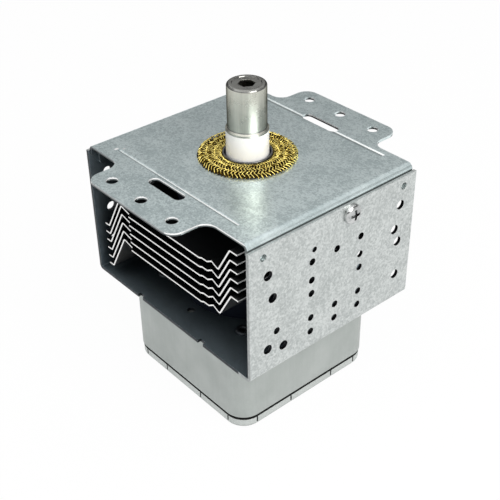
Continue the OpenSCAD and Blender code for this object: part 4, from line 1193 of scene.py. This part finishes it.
@dataclass
class KnitGasket:
    """Ring of knitted brass wire around the antenna's foot."""

    rows: int = 6
    loops: int = 38
    steps: int = 18
    inner: float = 9.5 * MM
    outer: float = 18.45 * MM
    wire: float = 0.18 * MM
    crown: float = 1.35 * MM
    flank: float = 0.3 * MM
    weave: float = 0.34 * MM
    swing: float = 0.6
    stray: float = 0.9 * MM
    lean: float = -0.42
    unevenness: float = 800.0
    crown_power: float = 4.0
    wire_sides: int = 5
    core_gap: float = 3.0
    core_drop: float = 2.5
    core_foot: float = 0.4
    core_base: float = 0.8
    core_power: float = 0.6
    core_steps: int = 16
    core_sides: int = 96

    def _inputs(self, tree: bpy.types.NodeTree) -> dict[str, str]:
        """Args:
            tree: the new geometry tree.

        Returns:
            Socket identifiers by name.
        """
        kinds = {name: "NodeSocketFloat" for name in (*KNIT_SIZES, "Phase")}
        kinds["Points"] = "NodeSocketInt"
        kinds["Finish"] = "NodeSocketMaterial"
        tree.interface.new_socket("Geometry", in_out="OUTPUT", socket_type="NodeSocketGeometry")
        made = {}
        for name, kind in kinds.items():
            made[name] = tree.interface.new_socket(name, in_out="INPUT", socket_type=kind).identifier
        return made

    def _stitches(self, graph: Graph, given: Mapping[str, Sock]) -> tuple[Sock, Sock]:
        """Finds each wire point's place in closed rows of interlocking loops.

        Args:
            graph: the geometry tree.
            given: the tree's inputs by name.

        Returns:
            The points' places and their lift from -1 to 1.
        """
        turns = graph.node("GeometryNodeInputIndex") / (given["Points"] - 1.0) * given["Rows"]
        turn = turns * math.tau
        beat = turn * given["Loops"] + given["Phase"]
        width = given["Outer"] - given["Inner"]
        ring = graph.node("ShaderNodeMath", {"operation": "MINIMUM"},
                          {0: graph.unary("FLOOR", turns), 1: given["Rows"] - 1.0})
        odd = graph.node("ShaderNodeMath", {"operation": "MODULO"}, {0: ring, 1: 2.0})
        lift = graph.unary("SINE", beat) * (1.0 - odd * 2.0)
        angle = turn + graph.unary("SINE", beat * 2.0) * self.lean / given["Loops"]
        middle = ring + MIDDLE + graph.unary("COSINE", beat) * given["Swing"]
        even = given["Inner"] + width / given["Rows"] * middle
        cosine = graph.unary("COSINE", angle)
        sine = graph.unary("SINE", angle)
        place = graph.node("ShaderNodeCombineXYZ", {}, {0: even * cosine, 1: even * sine, 2: given["Phase"]})
        uneven = graph.node("ShaderNodeTexNoise", {"noise_dimensions": "3D"},
                            {"Vector": place, "Scale": self.unevenness, "Detail": 1.0}, "Color")
        sideways = graph.node("ShaderNodeSeparateXYZ", {}, {0: uneven}, X)
        upwards = graph.other_output(sideways, Y)
        radius = even + (sideways - MIDDLE) * given["Stray"]
        across = abs((radius - (given["Inner"] + given["Outer"]) * MIDDLE) / width * 2.0)
        fall = (given["Crown"] - given["Flank"]) * across ** self.crown_power
        height = given["Crown"] - fall + given["Weave"] * lift + (upwards - MIDDLE) * given["Stray"]
        spot = graph.node("ShaderNodeCombineXYZ", {}, {0: radius * cosine, 1: radius * sine,
                                                       2: graph.either(height, given["Wire"])})
        return spot, lift

    def _tree(self) -> tuple[bpy.types.NodeTree, dict[str, str]]:
        """Builds the tree that winds one wire into the knit.

        Returns:
            The tree and its input identifiers.
        """
        tree = bpy.data.node_groups.new("knitted_rows", "GeometryNodeTree")
        sockets = self._inputs(tree)
        graph = Graph(tree)
        entry = tree.nodes.new("NodeGroupInput")
        given = {name: Sock(graph, graph.pick(entry.outputs, key)) for name, key in sockets.items()}
        spot, lift = self._stitches(graph, given)
        line = graph.node("GeometryNodeCurvePrimitiveLine", {},
                          {"Start": (0.0, 0.0, 0.0), "End": (1.0, 0.0, 0.0)})
        path = graph.node("GeometryNodeResampleCurve", {}, {"Curve": line, "Count": given["Points"]})
        crest_highlight = lift * MIDDLE + MIDDLE
        marked = graph.node("GeometryNodeStoreNamedAttribute", {"data_type": "FLOAT", "domain": "POINT"},
                            {"Geometry": path, "Name": KnittedBrass.attribute, "Value": crest_highlight})
        wound = graph.node("GeometryNodeSetPosition", {}, {"Geometry": marked, "Position": spot})
        section = graph.node("GeometryNodeCurvePrimitiveCircle", {},
                             {"Resolution": self.wire_sides, "Radius": given["Wire"]})
        tube = graph.node("GeometryNodeCurveToMesh", {},
                          {"Curve": wound, "Profile Curve": section, "Fill Caps": True})
        smooth = graph.node("GeometryNodeSetShadeSmooth", {}, {"Geometry": tube})
        real = graph.node("GeometryNodeRealizeInstances", {}, {"Geometry": smooth})
        dressed = graph.node("GeometryNodeSetMaterial", {}, {"Geometry": real, "Material": given["Finish"]})
        graph.feed(tree.nodes.new("NodeGroupOutput").inputs[0], dressed)
        return tree, sockets

    def _wire(self, tree: bpy.types.NodeTree, sockets: Mapping[str, str], name: str,
              phase: float, seat: float) -> bpy.types.Object:
        """Winds one wire and turns it into a plain mesh.

        Args:
            tree: the knit's geometry tree.
            sockets: the tree's input identifiers.
            name: the piece's name.
            phase: shift of the loops in radians.
            seat: height of the plate that carries the ring.

        Returns:
            The wire's object, with its place in its mesh.
        """
        holder = bpy.data.objects.new(f"{name}_holder", bpy.data.meshes.new(f"{name}_holder"))
        bpy.context.scene.collection.objects.link(holder)
        modifier = holder.modifiers.new("knit", "NODES")
        modifier.node_group = tree
        values: dict[str, Any] = {name: float(getattr(self, name.lower())) for name in KNIT_SIZES}
        values["Points"] = self.rows * self.loops * self.steps
        values["Phase"] = phase
        values["Finish"] = Finishes.BRASS.material
        for key, value in values.items():
            modifier[sockets[key]] = value
        bpy.context.view_layer.update()
        mesh = bpy.data.meshes.new_from_object(holder.evaluated_get(bpy.context.evaluated_depsgraph_get()))
        bpy.data.objects.remove(holder)
        mesh.transform(Matrix.Translation((0.0, 0.0, seat)))
        return link_piece(name, mesh)

    def _core(self, seat: float) -> bpy.types.Object:
        """Turns a dark ring that stands in for the shade within the knit.

        Args:
            seat: height of the plate that carries the ring.

        Returns:
            The core's object.
        """
        middle = (self.inner + self.outer) / 2.0
        half = (self.outer - self.inner) / 2.0 - self.core_gap * self.wire
        foot = self.flank * self.core_foot
        rise = self.crown - self.core_drop * self.weave - foot
        angles = [math.pi * k / self.core_steps for k in range(self.core_steps + 1)]
        upper = [(middle + half * math.cos(a), foot + rise * math.sin(a) ** self.core_power) for a in angles]
        profile = [(middle + half * self.core_base, 0.0), *upper, (middle - half, 0.0)]
        mesh = turned_mesh("gasket_shadow_core", profile, self.core_sides, seat, Finishes.SHADOW_CORE.material)
        return link_piece("gasket_shadow_core", mesh)

    def build(self) -> None:
        """Makes the core and the two wires and sets them in place of the plain ring."""
        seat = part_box("rf_gasket")[0][2]
        tree, sockets = self._tree()
        pieces = [self._wire(tree, sockets, "knit_wire_a", 0.0, seat),
                  self._wire(tree, sockets, "knit_wire_b", math.pi, seat), self._core(seat)]
        for piece in pieces:
            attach(piece, BODY)
            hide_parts("rf_gasket")
            LOG.info("%s: %d faces", piece.name, len(piece.data.polygons))


def link_piece(name: str, mesh: bpy.types.Mesh) -> bpy.types.Object:
    """Makes an object of a mesh that already holds its place.

    Args:
        name: the piece's name.
        mesh: the finished mesh.

    Returns:
        The linked object, at the origin.
    """
    mesh.name = name
    piece = bpy.data.objects.new(name, mesh)
    bpy.context.scene.collection.objects.link(piece)
    return piece


def turned_mesh(name: str, profile: Sequence[Span], sides: int, lift: float,
                material: bpy.types.Material) -> bpy.types.Mesh:
    """Turns a closed profile of radius and height about Z.

    Args:
        name: the mesh's name.
        profile: points in order around the section, counter-clockwise.
        sides: faces around the axis.
        lift: height that is added to the profile.
        material: the surface finish.

    Returns:
        The closed ring.
    """
    count = len(profile)
    points = [(r * math.cos(math.tau * k / sides), r * math.sin(math.tau * k / sides), z + lift)
              for k in range(sides) for r, z in profile]
    faces = [(k * count + i, (k + 1) % sides * count + i, (k + 1) % sides * count + (i + 1) % count,
              k * count + (i + 1) % count) for k in range(sides) for i in range(count)]
    mesh = bpy.data.meshes.new(name)
    mesh.from_pydata(points, [], faces)
    mesh.materials.append(material)
    mesh.polygons.foreach_set("use_smooth", [True] * len(faces))
    mesh.update()
    return mesh


@dataclass(frozen=True)
class Lamp:
    """A soft square lamp that looks at the object."""

    name: str
    spot: tuple[float, float, float]
    size: float
    power: float
    tint: Colour = EVEN

    def build(self, target: Vector) -> None:
        """Hangs the lamp.

        Args:
            target: the point that it looks at.
        """
        light = bpy.data.lights.new(self.name, "AREA")
        light.shape = "SQUARE"
        light.size = self.size
        light.energy = self.power
        light.color = self.tint
        holder = bpy.data.objects.new(self.name, light)
        holder.location = self.spot
        holder.rotation_euler = (target - Vector(self.spot)).to_track_quat("-Z", "Y").to_euler()
        bpy.context.scene.collection.objects.link(holder)


@dataclass
class Studio:
    """Plain pale floor, soft lamps, white surround and the photograph's camera."""

    azimuth: float = 49.6025
    elevation: float = 34.6508
    roll: float = -0.84737
    focal: float = 971.163
    frame_px: float = 500.0
    sensor: float = 36.0
    near: float = 0.01
    eye: tuple[float, float, float] = (240.113 * MM, -203.888 * MM, 174.582 * MM)
    fill: float = 0.55
    ceiling: tuple[Span, ...] = ((0.05, 1.0), (0.22, 0.14), (0.48, 0.14), (0.6, 1.0), (0.72, 0.36),
                                 (0.8, 0.95), (0.88, 0.95), (0.95, 0.42))
    floor_white: float = 0.96
    floor_grey: Colour = (0.9, 0.9, 0.9)
    floor_reach: float = 6.0
    target: tuple[float, float, float] = (0.0, 0.0, 0.06)
    lamps: tuple[Lamp, ...] = (
        Lamp("key", (0.63, -0.03, 0.5), 0.5, 4.3, (1.0, 0.985, 0.96)),
        Lamp("front", (-0.15, -0.7, 0.4), 0.5, 0.2, (0.96, 0.98, 1.0)),
        Lamp("top", (0.1, -0.25, 0.8), 1.2, 2.5),
    )

    def build(self) -> None:
        """Builds camera, floor, lamps and surround."""
        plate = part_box("yoke_plate")[1][2]
        self._camera(plate)
        self._floor()
        self._world()
        for lamp in self.lamps:
            lamp.build(Vector(self.target))
        bpy.context.scene.view_settings.view_transform = "Standard"

    def _camera(self, plate: float) -> None:
        """Sets the camera where the photograph was taken.

        Args:
            plate: height of the top plate's face, which the eye's place is counted from.
        """
        a, e, r = (math.radians(v) for v in (self.azimuth, self.elevation, self.roll))
        back = Vector((math.sin(a) * math.cos(e), -math.cos(a) * math.cos(e), math.sin(e)))
        side = Vector((0.0, 0.0, 1.0)).cross(back).normalized()
        rise = back.cross(side)
        right = math.cos(r) * side + math.sin(r) * rise
        up = math.cos(r) * rise - math.sin(r) * side
        lens = bpy.data.cameras.new("camera")
        lens.sensor_width = self.sensor
        lens.lens = self.focal / self.frame_px * self.sensor
        lens.clip_start = self.near
        camera = bpy.data.objects.new("camera", lens)
        camera.matrix_world = Matrix.Translation(Vector(self.eye) + Vector((0.0, 0.0, plate))) \
            @ Matrix((right, up, back)).transposed().to_4x4()
        bpy.context.scene.collection.objects.link(camera)
        bpy.context.scene.camera = camera

    @staticmethod
    def _seen(graph: Graph) -> Sock:
        """One for rays that show the background: straight, mirrored or through glass.

        Args:
            graph: the node tree of the floor or the surround.

        Returns:
            One or nothing.
        """
        straight = graph.node("ShaderNodeLightPath", output="Is Camera Ray")
        glossy = graph.other_output(straight, "Is Glossy Ray")
        through = graph.other_output(straight, "Is Transmission Ray")
        return graph.either(straight, graph.either(glossy, through))

    def _floor(self) -> None:
        """Lays a wide pale floor that shows white and keeps a faint shadow."""
        mesh = bpy.data.meshes.new("floor")
        reach = self.floor_reach
        corners = [(-reach, -reach, 0.0), (reach, -reach, 0.0), (reach, reach, 0.0), (-reach, reach, 0.0)]
        mesh.from_pydata(corners, [], [(0, 1, 2, 3)])
        material = bpy.data.materials.new("pale_floor")
        material.use_nodes = True
        graph = Graph(material.node_tree)
        nodes = material.node_tree.nodes
        nodes.remove(nodes["Principled BSDF"])
        matte = graph.node("ShaderNodeBsdfDiffuse", {}, {"Color": self.floor_grey})
        white = graph.node("ShaderNodeEmission", {}, {"Color": EVEN, "Strength": 1.0})
        mixed = graph.node("ShaderNodeMixShader", {},
                           {0: self._seen(graph) * self.floor_white, 1: matte, 2: white})
        graph.feed(nodes["Material Output"].inputs["Surface"], mixed)
        mesh.materials.append(material)
        floor = bpy.data.objects.new("floor", mesh)
        bpy.context.scene.collection.objects.link(floor)

    def _world(self) -> None:
        """Surrounds the scene with white, under a grey ceiling that only mirrors show, and softer light."""
        world = bpy.data.worlds.new("surround")
        world.use_nodes = True
        bpy.context.scene.world = world
        graph = Graph(world.node_tree)
        straight = graph.node("ShaderNodeLightPath", output="Is Camera Ray")
        direction = graph.node("ShaderNodeTexCoord", output="Generated")
        rise = graph.node("ShaderNodeSeparateXYZ", {}, {0: direction}, Z)
        stops = tuple((height, (level, level, level)) for height, level in self.ceiling)
        mirrored = graph.node("ShaderNodeValToRGB", {"stops": stops}, {0: rise})
        lit = (self._seen(graph) * (mirrored - self.fill) + self.fill) * (1.0 - straight)
        backdrop = world.node_tree.nodes["Background"]
        graph.feed(backdrop.inputs["Color"], EVEN)
        graph.feed(backdrop.inputs["Strength"], straight + lit)


@dataclass
class Magnetron:
    """The whole object, sub-assembly by sub-assembly."""

    dresses: tuple[Dress, ...] = (
        Dress(Finishes.PLATE, ("yoke_plate",)),
        Dress(Finishes.FRAME, ("yoke_frame",)),
        Dress(Finishes.FIN, tuple(f"cooling_fin_{k}" for k in range(1, 7))),
        Dress(Finishes.BOX, ("filter_box",)),
        Dress(Finishes.LID, ("filter_lid",)),
        Dress(Finishes.CAP, ("antenna_cap",)),
        Dress(Finishes.CERAMIC, ("output_insulator", "stem_insulator")),
        Dress(Finishes.SLEEVE, ("output_sleeve", "output_seal", "stem_sleeve", "upper_pole_piece",
                                "lower_pole_piece")),
        Dress(Finishes.OXIDISED, ("exhaust_tube",)),
        Dress(Finishes.COPPER, ("antenna_rod", "anode_cylinder", "anode_vanes", "strap_rings",
                                "choke_coils")),
        Dress(Finishes.TUNGSTEN, ("cathode_filament", "upper_end_hat", "lower_end_hat", "centre_lead",
                                  "side_lead")),
        Dress(Finishes.SCREW, ("yoke_screws",)),
        Dress(Finishes.RIVET, ("box_rivets",)),
        Dress(Finishes.TIN, ("stem_terminals", "capacitor_flange", "capacitor_terminals",
                             "capacitor_rivets")),
        Dress(Finishes.FERRITE, ("upper_magnet", "lower_magnet", "choke_cores")),
        Dress(Finishes.RESIN, ("capacitor_body",)),
    )

    def build(self, solids: Mapping[str, bpy.types.Object]) -> None:
        """Dresses every solid and makes the knitted ring.

        Args:
            solids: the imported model's objects by name.
        """
        for dress in self.dresses:
            dress.build(solids)
        KnitGasket().build()


def main() -> None:
    """Builds the dressed object and its studio."""
    logging.basicConfig(level=logging.INFO, format="%(name)s: %(message)s")
    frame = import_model()
    Magnetron().build(frame["nodes"])
    Studio().build()


if __name__ == "__main__":
    main()
